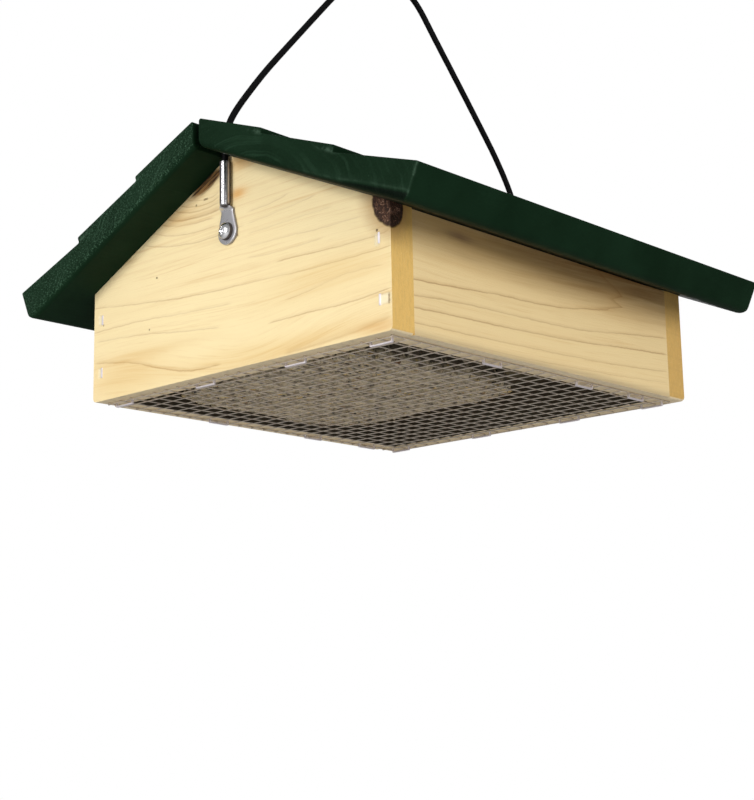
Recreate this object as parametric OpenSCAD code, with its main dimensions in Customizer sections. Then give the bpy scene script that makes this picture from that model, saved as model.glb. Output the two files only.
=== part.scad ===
// Hanging suet feeder: a pine box with a welded mesh floor, under a two-board roof
// that slides up its cable hanger for filling.
// X runs along the front gable to the right, Y to the back and Z up, in millimetres.
// The origin is under the middle of the box, where its lowest staples rest.

/* [Box] */
// Width over the gable panels
box_w = 190; // [160:1:230]
// Length over both gable panels
box_l = 206; // [180:1:260]
// Height of the panels at the sides
side_h = 52.3; // [44:0.1:80]
// Slope of the roof in degrees
roof_pitch = 24.8; // [18:0.1:32]
// Thickness of the gable and side panels
panel_t = 12.7; // [10:0.1:16]
// Radius of the gables' lower corners
gable_corner_r = 2; // [0.5:0.1:4]
// Depth of the side walls' top edge under the roof
wall_drop = 0.5; // [0.2:0.1:3]

/* [Roof] */
// Length of each board down the slope, along its underside
roof_run = 132.2; // [125:0.1:150]
// Overhang of the boards past each gable
roof_overhang = 19.3; // [12:0.1:30]
// Gap between the two boards at the ridge, where the cable passes
ridge_gap = 3.8; // [3.6:0.1:8]
// Thickness of the boards at the ridge
ridge_t = 11.4; // [8:0.1:14]
// Distance of the first lap's nose from the ridge
lap_1_end = 39.5; // [30:0.1:50]
// Distance of the second lap's nose from the ridge
lap_2_end = 85.4; // [70:0.1:100]
// Thickness under the first lap's nose
lap_1_t = 14.1; // [12:0.1:18]
// Thickness under the second lap's nose
lap_2_t = 14.6; // [12:0.1:18]
// Height of the step below the first nose
lap_1_step = 2.3; // [1:0.1:4]
// Height of the step below the second nose
lap_2_step = 3; // [1:0.1:4]
// Thickness of the boards at the eaves
eave_t = 16.5; // [12:0.1:22]
// Radius of the eaves' lower edge
eave_low_r = 4; // [1:0.1:5]
// Radius of the eaves' upper edge
eave_top_r = 0.8; // [0.5:0.1:5]
// Radius of the lower edges at the boards' two ends
end_low_r = 3; // [1:0.1:5]
// Radius of the lap noses and the ridge's upper edges
nose_r = 1; // [0.3:0.1:1.2]
// Length of the cleat that joins the boards
cleat_l = 110; // [60:1:120]
// Width of the cleat
cleat_w = 34; // [24:1:50]
// Depth of the cleat below the ridge
cleat_depth = 19; // [16:0.5:26]

/* [Mesh floor] */
// Distance between the wires' centres
mesh_pitch = 8.15; // [6:0.05:13]
// Diameter of the mesh wires
wire_d = 0.8; // [0.5:0.05:1.2]
// Gap left in the drawing between the two layers of wires
weld_gap = 0.01; // [0.01:0.01:0.05]
// Length of the wires past the last crossing
wire_stub = 1.5; // [0.5:0.1:3]
// Least distance of the mesh from the outer faces of the box
mesh_inset = 3.5; // [2:0.1:6]

/* [Staples] */
// Thickness of the mesh staples' crowns
mesh_staple_t = 0.7; // [0.4:0.05:1]
// Width of the mesh staples' wire
mesh_staple_w = 1.2; // [0.8:0.1:2]
// Crown length of the mesh staples, in mesh cells
mesh_crown_cells = 1.5; // [1.3:0.1:1.6]
// Distance of the mesh staples from the outer faces of the box
staple_inset = 8; // [5:0.1:9]
// Depth of the mesh staples in the wood
mesh_staple_leg = 9; // [6:0.5:12]
// Crown length of the gable staples
gable_crown = 5.2; // [4.5:0.1:12]
// Thickness of the gable staples' wire
gable_staple_t = 0.9; // [0.6:0.05:1.2]
// Width of the gable staples' wire
gable_staple_w = 1.1; // [0.8:0.1:2]
// Length of the gable staples' legs
gable_staple_leg = 28; // [22:0.5:36]
// Height of the gable staples' crowns above the wood
gable_staple_proud = 0.25; // [0.1:0.05:0.6]
// Height of the lower gable staples above the panel's lower edge
low_staple_z = 13.4; // [9:0.1:16]
// Height of the upper gable staples above the panel's lower edge
high_staple_z = 38.6; // [28:0.1:40]

/* [Suet cake] */
// Width of the cake
cake_w = 124; // [90:1:126]
// Length of the cake
cake_l = 115; // [90:1:150]
// Height of the cake
cake_h = 32; // [20:1:38]
// Radius of the cake's corners
cake_corner_r = 9; // [4:0.5:16]
// Inward slope of the cake's sides, from its foot to its top
cake_draft = 5; // [1:0.5:8]
// Place of the cake's middle, to the right of the box's
cake_x = -4.5; // [-5:0.5:5]
// Gap between the cake and the front gable
cake_front_gap = 6; // [3:0.5:12]

/* [Hanger] */
// Diameter of the coated cable
cable_d = 3; // [2:0.1:3.2]
// Radial clearance of the cable in its lugs
cable_fit = 0.1; // [0.05:0.05:0.3]
// Outer diameter of the lugs' barrel
barrel_d = 4.7; // [4.2:0.1:6]
// Length of the barrel
barrel_l = 20; // [16:0.1:24]
// Depth of the cable in the barrel
barrel_bore = 14; // [10:0.5:15]
// Distance of the barrel's top under the roof's ridge
barrel_drop = 3.5; // [1.5:0.1:6]
// Length of the taper from the barrel to the flat palm
neck_l = 3; // [2:0.1:5]
// Width of the palm at the neck
neck_w = 6.6; // [5:0.1:9]
// Radius of the palm's round end
palm_r = 5.9; // [5:0.1:8]
// Thickness of the palm
palm_t = 1.4; // [0.8:0.1:1.8]
// Distance from the palm's neck to its screw
palm_l = 8.4; // [7:0.1:14]
// Diameter of the lug screw's shank
screw_d = 3.5; // [2.5:0.1:4.5]
// Length of the screw in the panel
screw_l = 9; // [6:0.5:9.5]
// Diameter of the screw's head
head_d = 8; // [6.5:0.1:9]
// Height of the screw's head
head_h = 2.8; // [2:0.1:3.5]
// Clearance of the screw in the palm's hole
screw_clear = 0.3; // [0.1:0.05:0.6]

/* [Hidden] */

pine = [0.89, 0.78, 0.55];
green = [0.08, 0.19, 0.12];
galvanised = [0.66, 0.66, 0.66];
bright = [0.78, 0.78, 0.80];
suet = [0.50, 0.46, 0.38];
black = [0.05, 0.05, 0.05];

// Heights of the mesh and the box
low_wire_z = mesh_staple_t + wire_d / 2;
high_wire_z = low_wire_z + wire_d + weld_gap;
wood_z = high_wire_z + wire_d / 2;
slope = tan(roof_pitch);
apex_z = wood_z + side_h + box_w / 2 * slope;
inner_w = box_w - 2 * panel_t;
inner_l = box_l - 2 * panel_t;
roof_l = box_l + 2 * roof_overhang;
round_steps = 4;

// Whole mesh cells that fit under the box each way
cells_x = floor((box_w - 2 * (mesh_inset + wire_stub)) / mesh_pitch);
cells_y = floor((box_l - 2 * (mesh_inset + wire_stub)) / mesh_pitch);
function wire_at(i, cells) = (i - cells / 2) * mesh_pitch;
// The place nearest to t where a staple's leg passes between two wires
function between_wires(t, cells) =
    let (u = t / mesh_pitch + cells / 2, share = u - floor(u))
    wire_at(floor(u) + max(0.25, min(0.75, share)), cells);

// Each mesh staple sits across one wire
mesh_crown = mesh_crown_cells * mesh_pitch;
staple_x = between_wires(box_w / 2 - staple_inset, cells_x);
staple_y = between_wires(box_l / 2 - staple_inset, cells_y);
front_wires = [1, round(0.36 * cells_x), ceil(0.66 * cells_x), cells_x - 1];
side_wires = [round(cells_y / 3), round(cells_y * 2 / 3), cells_y - 3];

// The hanger's fixed points
barrel_y = box_l / 2 + barrel_d / 2;
barrel_top = apex_z - barrel_drop;
cable_end_z = barrel_top - barrel_bore;
neck_z = barrel_top - barrel_l;
palm_top = neck_z - neck_l;
screw_z = palm_top - palm_l;

// Route of the hanger cable between its straight ends, as Y and Z in the plane X = 0
cable_route = [[-105, 105], [-103, 113], [-99, 120.5], [-91.5, 131], [-81, 144.5], [-69.5, 158],
    [-57.5, 171.8], [-46, 185], [-35.5, 196.8], [-25.5, 207], [-15, 215.2], [-4, 219.8],
    [7, 219.9], [17, 216.5], [26, 210.5], [38, 197.3], [54, 179.6], [69, 162.8], [83, 146.6],
    [93, 132.8], [99, 121.5], [103, 113], [105, 105]];
cable_points = concat([[-barrel_y, cable_end_z], [-barrel_y, barrel_top]], cable_route,
    [[barrel_y, barrel_top], [barrel_y, cable_end_z]]);
cable_sides = 8;

// Arc that rounds the corner b between its neighbours a and c
function turn(d) = d > 180 ? d - 360 : d < -180 ? d + 360 : d;
function corner(a, b, c, r) =
    let (u = (a - b) / norm(a - b), v = (c - b) / norm(c - b),
         half = acos(u * v) / 2,
         mid = b + (u + v) / norm(u + v) * r / sin(half),
         p = b + u * r / tan(half) - mid,
         q = b + v * r / tan(half) - mid,
         start = atan2(p.y, p.x),
         sweep = turn(atan2(q.y, q.x) - start))
    [for (i = [0 : round_steps])
        mid + r * [cos(start + sweep * i / round_steps), sin(start + sweep * i / round_steps)]];
function rounded(points, radii) =
    let (n = len(points))
    [for (i = [0 : n - 1])
        each radii[i] == 0 ? [points[i]]
            : corner(points[(i + n - 1) % n], points[i], points[(i + 1) % n], radii[i])];

// An outline in X and Z, pulled along Y from y to y + length
module along_y(y, length) {
    translate([0, y + length, 0])
    rotate([90, 0, 0])
    linear_extrude(height = length)
    children();
}

// U-shaped staple: crown along X on Z = 0, legs up
module staple(crown, leg, thick, wide) {
    tip = 1.5 * thick;
    translate([0, wide / 2, 0])
    rotate([90, 0, 0])
    linear_extrude(height = wide)
    polygon([
        [-crown / 2 + thick / 2, 0], [crown / 2 - thick / 2, 0], [crown / 2, thick / 2],
        [crown / 2, leg - tip], [crown / 2 - thick, leg], [crown / 2 - thick, thick],
        [-crown / 2 + thick, thick], [-crown / 2 + thick, leg], [-crown / 2, leg - tip],
        [-crown / 2, thick / 2]
    ]);
}

module mesh_staple() {
    staple(mesh_crown, wood_z + mesh_staple_leg, mesh_staple_t, mesh_staple_w);
}

// Mesh staples along the front edge, legs in the gable
module front_mesh_staple_row() {
    for (i = front_wires)
        translate([wire_at(i, cells_x), -staple_y, 0])
        mesh_staple();
}

// Mesh staples along the right edge, legs in the side wall
module right_mesh_staple_row() {
    for (i = side_wires)
        translate([staple_x, wire_at(i, cells_y), 0])
        rotate([0, 0, 90])
        mesh_staple();
}

// Gable staples of the front panel, crowns upright, legs into the walls' ends
module front_gable_staple_set() {
    for (side = [-1, 1], height = [low_staple_z, high_staple_z])
        translate([side * (box_w - panel_t) / 2, -box_l / 2 - gable_staple_proud, wood_z + height])
        rotate([-90, 90, 0])
        staple(gable_crown, gable_staple_leg, gable_staple_t, gable_staple_w);
}

module front_screw_bore() {
    translate([0, -box_l / 2, screw_z])
    rotate([-90, 0, 0])
    cylinder(d = screw_d, h = screw_l, $fn = 32);
}

// Front gable panel, with the beds that its staples and its lug screw cut
module front_panel() {
    eave_z = wood_z + side_h;
    difference() {
        along_y(-box_l / 2, panel_t)
        polygon(rounded(
            [[-box_w / 2, wood_z], [box_w / 2, wood_z], [box_w / 2, eave_z],
             [0, apex_z], [-box_w / 2, eave_z]],
            [gable_corner_r, gable_corner_r, 0, 0, 0]
        ));
        front_gable_staple_set();
        front_mesh_staple_row();
        front_screw_bore();
    }
}

module front_gable() {
    color(pine) front_panel();
}

module rear_gable() {
    color(pine) mirror([0, 1, 0]) front_panel();
}

// Right side wall, bevelled on top to the roof's slope
module right_panel() {
    top_z = wood_z + side_h - wall_drop;
    difference() {
        along_y(-inner_l / 2, inner_l)
        polygon([
            [inner_w / 2, wood_z], [box_w / 2, wood_z],
            [box_w / 2, top_z], [inner_w / 2, top_z + panel_t * slope]
        ]);
        front_gable_staple_set();
        mirror([0, 1, 0]) front_gable_staple_set();
        right_mesh_staple_row();
    }
}

module right_side_wall() {
    color(pine) right_panel();
}

module left_side_wall() {
    color(pine) mirror([1, 0, 0]) right_panel();
}

// Roof board outline, drawn along the slope and up from its underside
function roof_outline() =
    let (c = cos(roof_pitch), s = sin(roof_pitch), half_gap = ridge_gap / 2)
    rounded(
        [[half_gap / c, 0], [roof_run, 0], [roof_run, eave_t],
         [lap_2_end, lap_2_t - lap_2_step], [lap_2_end, lap_2_t],
         [lap_1_end, lap_1_t - lap_1_step], [lap_1_end, lap_1_t],
         [(half_gap - ridge_t * s) / c, ridge_t]],
        [0, eave_low_r, eave_top_r, nose_r / 2, nose_r, nose_r / 2, nose_r, nose_r]
    );

// Right board: its outline runs the length of the roof, its lower edges rounded at both ends
module roof_board() {
    half_l = roof_l / 2;
    spare = 2 * ridge_t;
    translate([0, 0, apex_z])
    rotate([0, roof_pitch, 0])
    intersection() {
        along_y(-half_l, roof_l)
        polygon(roof_outline());
        translate([-spare, 0, 0])
        rotate([90, 0, 90])
        linear_extrude(height = roof_run + 2 * spare)
        polygon(rounded(
            [[-half_l, 0], [half_l, 0], [half_l, 2 * eave_t], [-half_l, 2 * eave_t]],
            [end_low_r, end_low_r, 0, 0]
        ));
    }
}

module right_roof_board() {
    color(green) roof_board();
}

module left_roof_board() {
    color(green) mirror([1, 0, 0]) roof_board();
}

// Cleat glued under both boards, between the gables
module ridge_cleat() {
    top = apex_z - ridge_gap / 2 * slope;
    shoulder = apex_z - cleat_w / 2 * slope;
    low = apex_z - cleat_depth;
    color(pine)
    along_y(-cleat_l / 2, cleat_l)
    polygon([
        [-cleat_w / 2 + 4, low], [cleat_w / 2 - 4, low], [cleat_w / 2, low + 4], [cleat_w / 2, shoulder],
        [ridge_gap / 2, top], [-ridge_gap / 2, top], [-cleat_w / 2, shoulder], [-cleat_w / 2, low + 4]
    ]);
}

// Two layers of straight wires, lengthwise ones on top
module mesh_floor() {
    length_x = cells_x * mesh_pitch + 2 * wire_stub;
    length_y = cells_y * mesh_pitch + 2 * wire_stub;
    color(galvanised) {
        for (i = [0 : cells_x])
            translate([wire_at(i, cells_x), 0, high_wire_z])
            rotate([90, 0, 0])
            cylinder(d = wire_d, h = length_y, center = true, $fn = 16);
        for (i = [0 : cells_y])
            translate([0, wire_at(i, cells_y), low_wire_z])
            rotate([0, 90, 0])
            cylinder(d = wire_d, h = length_x, center = true, $fn = 16);
    }
}

module front_mesh_staples() {
    color(galvanised) front_mesh_staple_row();
}

module rear_mesh_staples() {
    color(galvanised) mirror([0, 1, 0]) front_mesh_staple_row();
}

module right_mesh_staples() {
    color(galvanised) right_mesh_staple_row();
}

module left_mesh_staples() {
    color(galvanised) mirror([1, 0, 0]) right_mesh_staple_row();
}

module front_gable_staples() {
    color(galvanised) front_gable_staple_set();
}

module rear_gable_staples() {
    color(galvanised) mirror([0, 1, 0]) front_gable_staple_set();
}

// Moulded cake with drafted sides, lying on the mesh
module suet_cake() {
    corner_x = cake_w / 2 - cake_corner_r;
    corner_y = cake_l / 2 - cake_corner_r;
    edge = 2.5;
    color(suet)
    translate([cake_x, -inner_l / 2 + cake_front_gap + cake_l / 2, wood_z])
    hull()
    for (x = [-corner_x, corner_x], y = [-corner_y, corner_y])
        translate([x, y, 0]) {
            cylinder(r = cake_corner_r - edge / 2, h = cake_h / 2, $fn = 32);
            translate([0, 0, edge])
            cylinder(r = cake_corner_r, h = edge, $fn = 32);
            translate([-sign(x) * cake_draft, -sign(y) * cake_draft, cake_h - edge])
            cylinder(r1 = cake_corner_r, r2 = cake_corner_r - edge, h = edge, $fn = 32);
        }
}

// Point on the smooth curve through p1 and p2, t of the way between them
function curve(p0, p1, p2, p3, t) =
    0.5 * (2 * p1 + (p2 - p0) * t + (2 * p0 - 5 * p1 + 4 * p2 - p3) * t * t
        + (3 * p1 - p0 - 3 * p2 + p3) * t * t * t);
function ring_points(points, steps) =
    let (last = len(points) - 1)
    concat(
        [for (i = [0 : last - 1], k = [0 : steps - 1])
            curve(points[max(i - 1, 0)], points[i], points[i + 1], points[min(i + 2, last)], k / steps)],
        [points[last]]
    );
function heading(points, i) =
    let (last = len(points) - 1, step = points[min(i + 1, last)] - points[max(i - 1, 0)])
    i == 0 || i == last ? [0, i == 0 ? 1 : -1] : step / norm(step);

// Tube of flat sides, swept along a route in the plane X = 0
module cable_tube(points, d, sides) {
    rings = len(points);
    corners = [for (i = [0 : rings - 1], k = [0 : sides - 1])
        let (dir = heading(points, i), x = d / 2 * cos(360 * k / sides), out = d / 2 * sin(360 * k / sides))
        [x, points[i][0] - out * dir[1], points[i][1] + out * dir[0]]];
    walls = [for (i = [0 : rings - 2], k = [0 : sides - 1])
        let (a = i * sides + k, b = i * sides + (k + 1) % sides)
        [a, a + sides, b + sides, b]];
    polyhedron(
        points = corners,
        faces = concat(
            [[for (k = [0 : sides - 1]) k]],
            walls,
            [[for (k = [sides - 1 : -1 : 0]) (rings - 1) * sides + k]]
        ),
        convexity = 6
    );
}

module hanger_cable() {
    color(black) cable_tube(ring_points(cable_points, 2), cable_d, cable_sides);
}

// Lug made of one tube, flattened below its barrel into a palm with a screw hole
module front_lug_body() {
    face_y = -box_l / 2;
    across = asin((palm_r - neck_w / 2) / palm_l);
    difference() {
        union() {
            translate([0, -barrel_y, neck_z])
            cylinder(d = barrel_d, h = barrel_l, $fn = 48);
            hull() {
                translate([0, -barrel_y, neck_z])
                cylinder(d = barrel_d, h = 0.6, $fn = 32);
                translate([-neck_w / 2, face_y - palm_t, palm_top - 0.6])
                cube([neck_w, palm_t, 0.6]);
            }
            along_y(face_y - palm_t, palm_t) {
                translate([0, screw_z])
                circle(r = palm_r, $fn = 64);
                polygon([
                    [-neck_w / 2, palm_top],
                    [-palm_r * cos(across), screw_z + palm_r * sin(across)],
                    [palm_r * cos(across), screw_z + palm_r * sin(across)],
                    [neck_w / 2, palm_top]
                ]);
            }
        }
        translate([0, -barrel_y, cable_end_z])
        cylinder(d = cable_d + 2 * cable_fit, h = barrel_bore + 1, $fn = 48);
        translate([0, face_y + 1, screw_z])
        rotate([90, 0, 0])
        cylinder(d = screw_d + 2 * screw_clear, h = palm_t + 2, $fn = 32);
    }
}

module front_lug() {
    color(bright) front_lug_body();
}

module rear_lug() {
    color(bright) mirror([0, 1, 0]) front_lug_body();
}

// Pan head screw with a cross recess
module front_screw() {
    seat_y = -box_l / 2 - palm_t;
    dome_r = (pow(head_d / 2, 2) + pow(head_h, 2)) / (2 * head_h);
    point_l = screw_d;
    translate([0, seat_y, screw_z])
    rotate([90, 0, 0])
    difference() {
        rotate_extrude($fn = 64) {
            intersection() {
                translate([0, head_h - dome_r])
                circle(r = dome_r, $fn = 64);
                square([head_d / 2, head_h]);
            }
            polygon([
                [0, 0], [0, -palm_t - screw_l], [0.4, -palm_t - screw_l],
                [screw_d / 2, -palm_t - screw_l + point_l], [screw_d / 2, 0]
            ]);
        }
        for (turn = [45, 135])
            rotate(turn)
            translate([0, 0, head_h])
            rotate([90, 0, 0])
            linear_extrude(height = head_d / 9, center = true)
            polygon([
                [-head_d / 4, 1], [-head_d / 5, -head_h * 0.3], [0, -head_h * 0.6],
                [head_d / 5, -head_h * 0.3], [head_d / 4, 1]
            ]);
    }
}

module front_lug_screw() {
    color(bright) front_screw();
}

module rear_lug_screw() {
    color(bright) mirror([0, 1, 0]) front_screw();
}

front_gable();
rear_gable();
left_side_wall();
right_side_wall();
left_roof_board();
right_roof_board();
ridge_cleat();
mesh_floor();
front_mesh_staples();
rear_mesh_staples();
left_mesh_staples();
right_mesh_staples();
front_gable_staples();
rear_gable_staples();
suet_cake();
hanger_cable();
front_lug();
rear_lug();
front_lug_screw();
rear_lug_screw();
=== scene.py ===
"""Looks of a hanging suet feeder: camera, light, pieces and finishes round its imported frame."""

import logging
import math
from collections.abc import Sequence
from dataclasses import dataclass
from enum import Enum

import bmesh
import bpy
import numpy as np
from mathutils import Matrix, Quaternion, Vector

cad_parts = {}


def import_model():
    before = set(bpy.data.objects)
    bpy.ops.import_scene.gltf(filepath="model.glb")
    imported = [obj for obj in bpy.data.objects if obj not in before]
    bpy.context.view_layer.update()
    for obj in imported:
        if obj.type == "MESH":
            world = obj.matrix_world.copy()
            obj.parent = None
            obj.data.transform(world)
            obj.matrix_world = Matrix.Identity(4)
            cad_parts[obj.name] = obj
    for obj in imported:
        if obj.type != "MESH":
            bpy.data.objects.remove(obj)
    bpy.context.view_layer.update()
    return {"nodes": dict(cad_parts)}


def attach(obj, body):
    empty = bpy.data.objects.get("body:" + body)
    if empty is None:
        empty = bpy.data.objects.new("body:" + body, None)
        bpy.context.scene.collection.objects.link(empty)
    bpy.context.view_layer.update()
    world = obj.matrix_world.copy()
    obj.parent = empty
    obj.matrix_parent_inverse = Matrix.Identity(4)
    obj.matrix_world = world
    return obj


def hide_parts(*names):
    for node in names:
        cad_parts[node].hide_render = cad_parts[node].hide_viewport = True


LOG = logging.getLogger("suet_feeder")
MM = 0.001
Point = tuple[float, float, float]
Colour = tuple[float, float, float]

LATTICE_WEIGHTS = np.array([127.1, 311.7, 74.7])
LATTICE_SPREAD = 43758.5453
SEED_STEP = 17.31
JOIN_WITHIN = 0.005 * MM
FLAT_WITHIN = math.radians(0.5)
EDGE_FROM = math.radians(32)
LARGE_FACE_WEIGHT = 80


class Body(Enum):
    """The two moving bodies of the feeder."""

    BOX = "box"
    ROOF = "roof"


class Slot(Enum):
    """The record's material slots."""

    PINE = "pine"
    PAINT = "green_paint"
    WIRE = "galvanised_wire"
    STAPLE = "staple_steel"
    SUET = "suet"
    COATING = "black_coating"
    LUG = "lug_metal"
    SCREW = "screw_steel"


class Grain(Enum):
    """The way a board's fibres run."""

    ALONG_X = 0
    ALONG_Y = 1


class End(Enum):
    """Front or rear end of the box, as the sign of Y."""

    FRONT = -1
    REAR = 1


@dataclass(frozen=True)
class Layout:
    """Heights and lengths that several pieces share, in metres."""

    half_length: float = 103 * MM
    wood_z: float = 2.31 * MM
    apex_z: float = 98.5 * MM
    barrel_y: float = 105.35 * MM
    barrel_top: float = 95.0 * MM
    neck_z: float = 75.0 * MM
    screw_z: float = 63.6 * MM


LAYOUT = Layout()


class Field:
    """A number that varies over a surface, worked out by shader nodes."""

    def __init__(self, recipe: "Recipe", socket: bpy.types.NodeSocket) -> None:
        """Wraps an output socket of the recipe."""
        self.recipe = recipe
        self.socket = socket

    def __add__(self, other: "Field | float") -> "Field":
        """Sum."""
        return self.recipe.calc("ADD", self, other)

    def __radd__(self, other: float) -> "Field":
        """Sum with a plain number first."""
        return self.recipe.calc("ADD", other, self)

    def __sub__(self, other: "Field | float") -> "Field":
        """Difference."""
        return self.recipe.calc("SUBTRACT", self, other)

    def __rsub__(self, other: float) -> "Field":
        """Difference from a plain number."""
        return self.recipe.calc("SUBTRACT", other, self)

    def __mul__(self, other: "Field | float") -> "Field":
        """Product."""
        return self.recipe.calc("MULTIPLY", self, other)

    def __rmul__(self, other: float) -> "Field":
        """Product with a plain number first."""
        return self.recipe.calc("MULTIPLY", other, self)

    def __abs__(self) -> "Field":
        """Size without its sign."""
        return self.recipe.calc("ABSOLUTE", self)

    def power(self, exponent: float) -> "Field":
        """Raises to a power."""
        return self.recipe.calc("POWER", self, exponent)

    def largest(self, other: "Field | float") -> "Field":
        """The larger of the two."""
        return self.recipe.calc("MAXIMUM", self, other)

    def clamp(self) -> "Field":
        """Held between 0 and 1."""
        return self.recipe.calc("ADD", self, 0.0, clamp=True)

    def rise(self, low: float, high: float) -> "Field":
        """Smooth step from 0 at low to 1 at high, or down where high is the smaller.

        Args:
            low: where the step is 0.
            high: where the step is 1.

        Returns:
            The step.
        """
        node = self.recipe.add("ShaderNodeMapRange")
        node.interpolation_type = "SMOOTHSTEP"
        node.clamp = True
        ends = (low, high, 0.0, 1.0) if low < high else (high, low, 1.0, 0.0)
        self.recipe.feed(node.inputs["Value"], self)
        for name, value in zip(("From Min", "From Max", "To Min", "To Max"), ends):
            node.inputs[name].default_value = value
        return Field(self.recipe, node.outputs["Result"])

    def bell(self, centre: float, spread: float) -> "Field":
        """Bell curve, 1 at the centre: exp of minus the squared distance over the squared spread.

        Args:
            centre: place of the top.
            spread: distance at which it has fallen to 0.37.

        Returns:
            The bell.
        """
        away = (self - centre) * (1 / spread)
        return self.recipe.calc("EXPONENT", away * away * -1.0)


class Recipe:
    """The node tree of one material, built up step by step from Object coordinates."""

    def __init__(self, name: str) -> None:
        """Starts a material with one shader.

        Args:
            name: the material's name.
        """
        self.material = bpy.data.materials.new(name)
        self.material.use_nodes = True
        self.nodes = self.material.node_tree.nodes
        self.links = self.material.node_tree.links
        self.nodes.clear()
        self.shader = self.add("ShaderNodeBsdfPrincipled")
        output = self.add("ShaderNodeOutputMaterial")
        self.links.new(self.shader.outputs["BSDF"], output.inputs["Surface"])
        self.place = self.add("ShaderNodeTexCoord").outputs["Object"]

    def add(self, kind: str) -> bpy.types.Node:
        """Adds a node of that kind."""
        return self.nodes.new(kind)

    def feed(self, socket: bpy.types.NodeSocket,
             value: "Field | bpy.types.NodeSocket | float | Sequence[float]") -> None:
        """Links a field or a socket to an input, or sets a plain value on it.

        Args:
            socket: the input.
            value: what it gets.
        """
        if isinstance(value, Field):
            self.links.new(value.socket, socket)
        elif isinstance(value, bpy.types.NodeSocket):
            self.links.new(value, socket)
        elif isinstance(value, (int, float)):
            socket.default_value = value
        else:
            filled = tuple(value)
            socket.default_value = filled if len(filled) == len(socket.default_value) else (*filled, 1.0)

    def calc(self, operation: str, a: "Field | float", b: "Field | float" = 0.0, clamp: bool = False) -> Field:
        """One sum by a Math node.

        Args:
            operation: the node's operation.
            a: first number.
            b: second number.
            clamp: whether the result is held between 0 and 1.

        Returns:
            The result.
        """
        node = self.add("ShaderNodeMath")
        node.operation = operation
        node.use_clamp = clamp
        self.feed(node.inputs[0], a)
        self.feed(node.inputs[1], b)
        return Field(self, node.outputs[0])

    def split(self, vector: bpy.types.NodeSocket) -> tuple[Field, Field, Field]:
        """Takes a vector apart.

        Args:
            vector: the vector's socket.

        Returns:
            Its X, Y and Z.
        """
        node = self.add("ShaderNodeSeparateXYZ")
        self.feed(node.inputs[0], vector)
        return tuple(Field(self, out) for out in node.outputs)

    def axes(self) -> tuple[Field, Field, Field]:
        """X, Y and Z of the Object coordinates."""
        return self.split(self.place)

    def facing(self) -> tuple[Field, Field, Field]:
        """X, Y and Z of the surface's own direction."""
        return self.split(self.add("ShaderNodeNewGeometry").outputs["Normal"])

    def attribute(self, name: str) -> Field:
        """A number that the mesh carries for each of its points.

        Args:
            name: the attribute's name.

        Returns:
            The number.
        """
        node = self.add("ShaderNodeAttribute")
        node.attribute_name = name
        return Field(self, node.outputs["Fac"])

    def point(self, x: "Field | float", y: "Field | float", z: "Field | float") -> bpy.types.NodeSocket:
        """Joins three numbers into one place.

        Args:
            x: its X.
            y: its Y.
            z: its Z.

        Returns:
            The place.
        """
        node = self.add("ShaderNodeCombineXYZ")
        for socket, value in zip(node.inputs, (x, y, z)):
            self.feed(socket, value)
        return node.outputs[0]

    def noise(self, place: bpy.types.NodeSocket, scale: float = 1.0, detail: float = 2.0, rough: float = 0.5,
              distortion: float = 0.0) -> Field:
        """Soft random field from 0 to 1.

        Args:
            place: where it is read.
            scale: how many lumps to a metre.
            detail: how many finer layers.
            rough: how strong the finer layers are.
            distortion: how much it is stirred.

        Returns:
            The field.
        """
        node = self.add("ShaderNodeTexNoise")
        self.feed(node.inputs["Vector"], place)
        for name, value in (("Scale", scale), ("Detail", detail), ("Roughness", rough), ("Distortion", distortion)):
            node.inputs[name].default_value = value
        return Field(self, node.outputs["Fac"])

    def cells(self, place: bpy.types.NodeSocket, scale: float) -> tuple[Field, bpy.types.NodeSocket]:
        """Grains of random shape.

        Args:
            place: where they are read.
            scale: how many grains to a metre.

        Returns:
            Distance from each grain's middle, and each grain's own colour.
        """
        node = self.add("ShaderNodeTexVoronoi")
        self.feed(node.inputs["Vector"], place)
        node.inputs["Scale"].default_value = scale
        return Field(self, node.outputs["Distance"]), node.outputs["Color"]

    def ramp(self, field: Field, stops: Sequence[tuple[float, Colour]]) -> bpy.types.NodeSocket:
        """Colours read off a scale.

        Args:
            field: the number read, from 0 to 1.
            stops: places and their colours.

        Returns:
            The colour.
        """
        node = self.add("ShaderNodeValToRGB")
        scale = node.color_ramp
        scale.interpolation = "LINEAR"
        while len(scale.elements) < len(stops):
            scale.elements.new(1.0)
        for element, (at, colour) in zip(scale.elements, stops):
            element.position = at
            element.color = (*colour, 1.0)
        self.feed(node.inputs[0], field)
        return node.outputs[0]

    def curve(self, field: Field, points: Sequence[tuple[float, float]], smooth: bool = True) -> Field:
        """A number read off a curve through a few points.

        Args:
            field: the number that the curve is read at.
            points: places of the field and the curve's value at each.
            smooth: whether it bends between its points, or runs straight.

        Returns:
            The curve's value.
        """
        low, high = (tuple(pick(p[i] for p in points) for i in (0, 1)) for pick in (min, max))
        wide, tall = high[0] - low[0], high[1] - low[1]
        node = self.add("ShaderNodeFloatCurve")
        line = node.mapping.curves[0]
        spots = [((x - low[0]) / wide, (y - low[1]) / tall) for x, y in points]
        line.points[0].location, line.points[1].location = spots[0], spots[-1]
        for spot in spots[1:-1]:
            line.points.new(*spot)
        for spot in line.points:
            spot.handle_type = "AUTO" if smooth else "VECTOR"
        node.mapping.update()
        self.feed(node.inputs["Factor"], 1.0)
        self.feed(node.inputs["Value"], (field - low[0]) * (1 / wide))
        return Field(self, node.outputs["Value"]) * tall + low[1]

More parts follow.
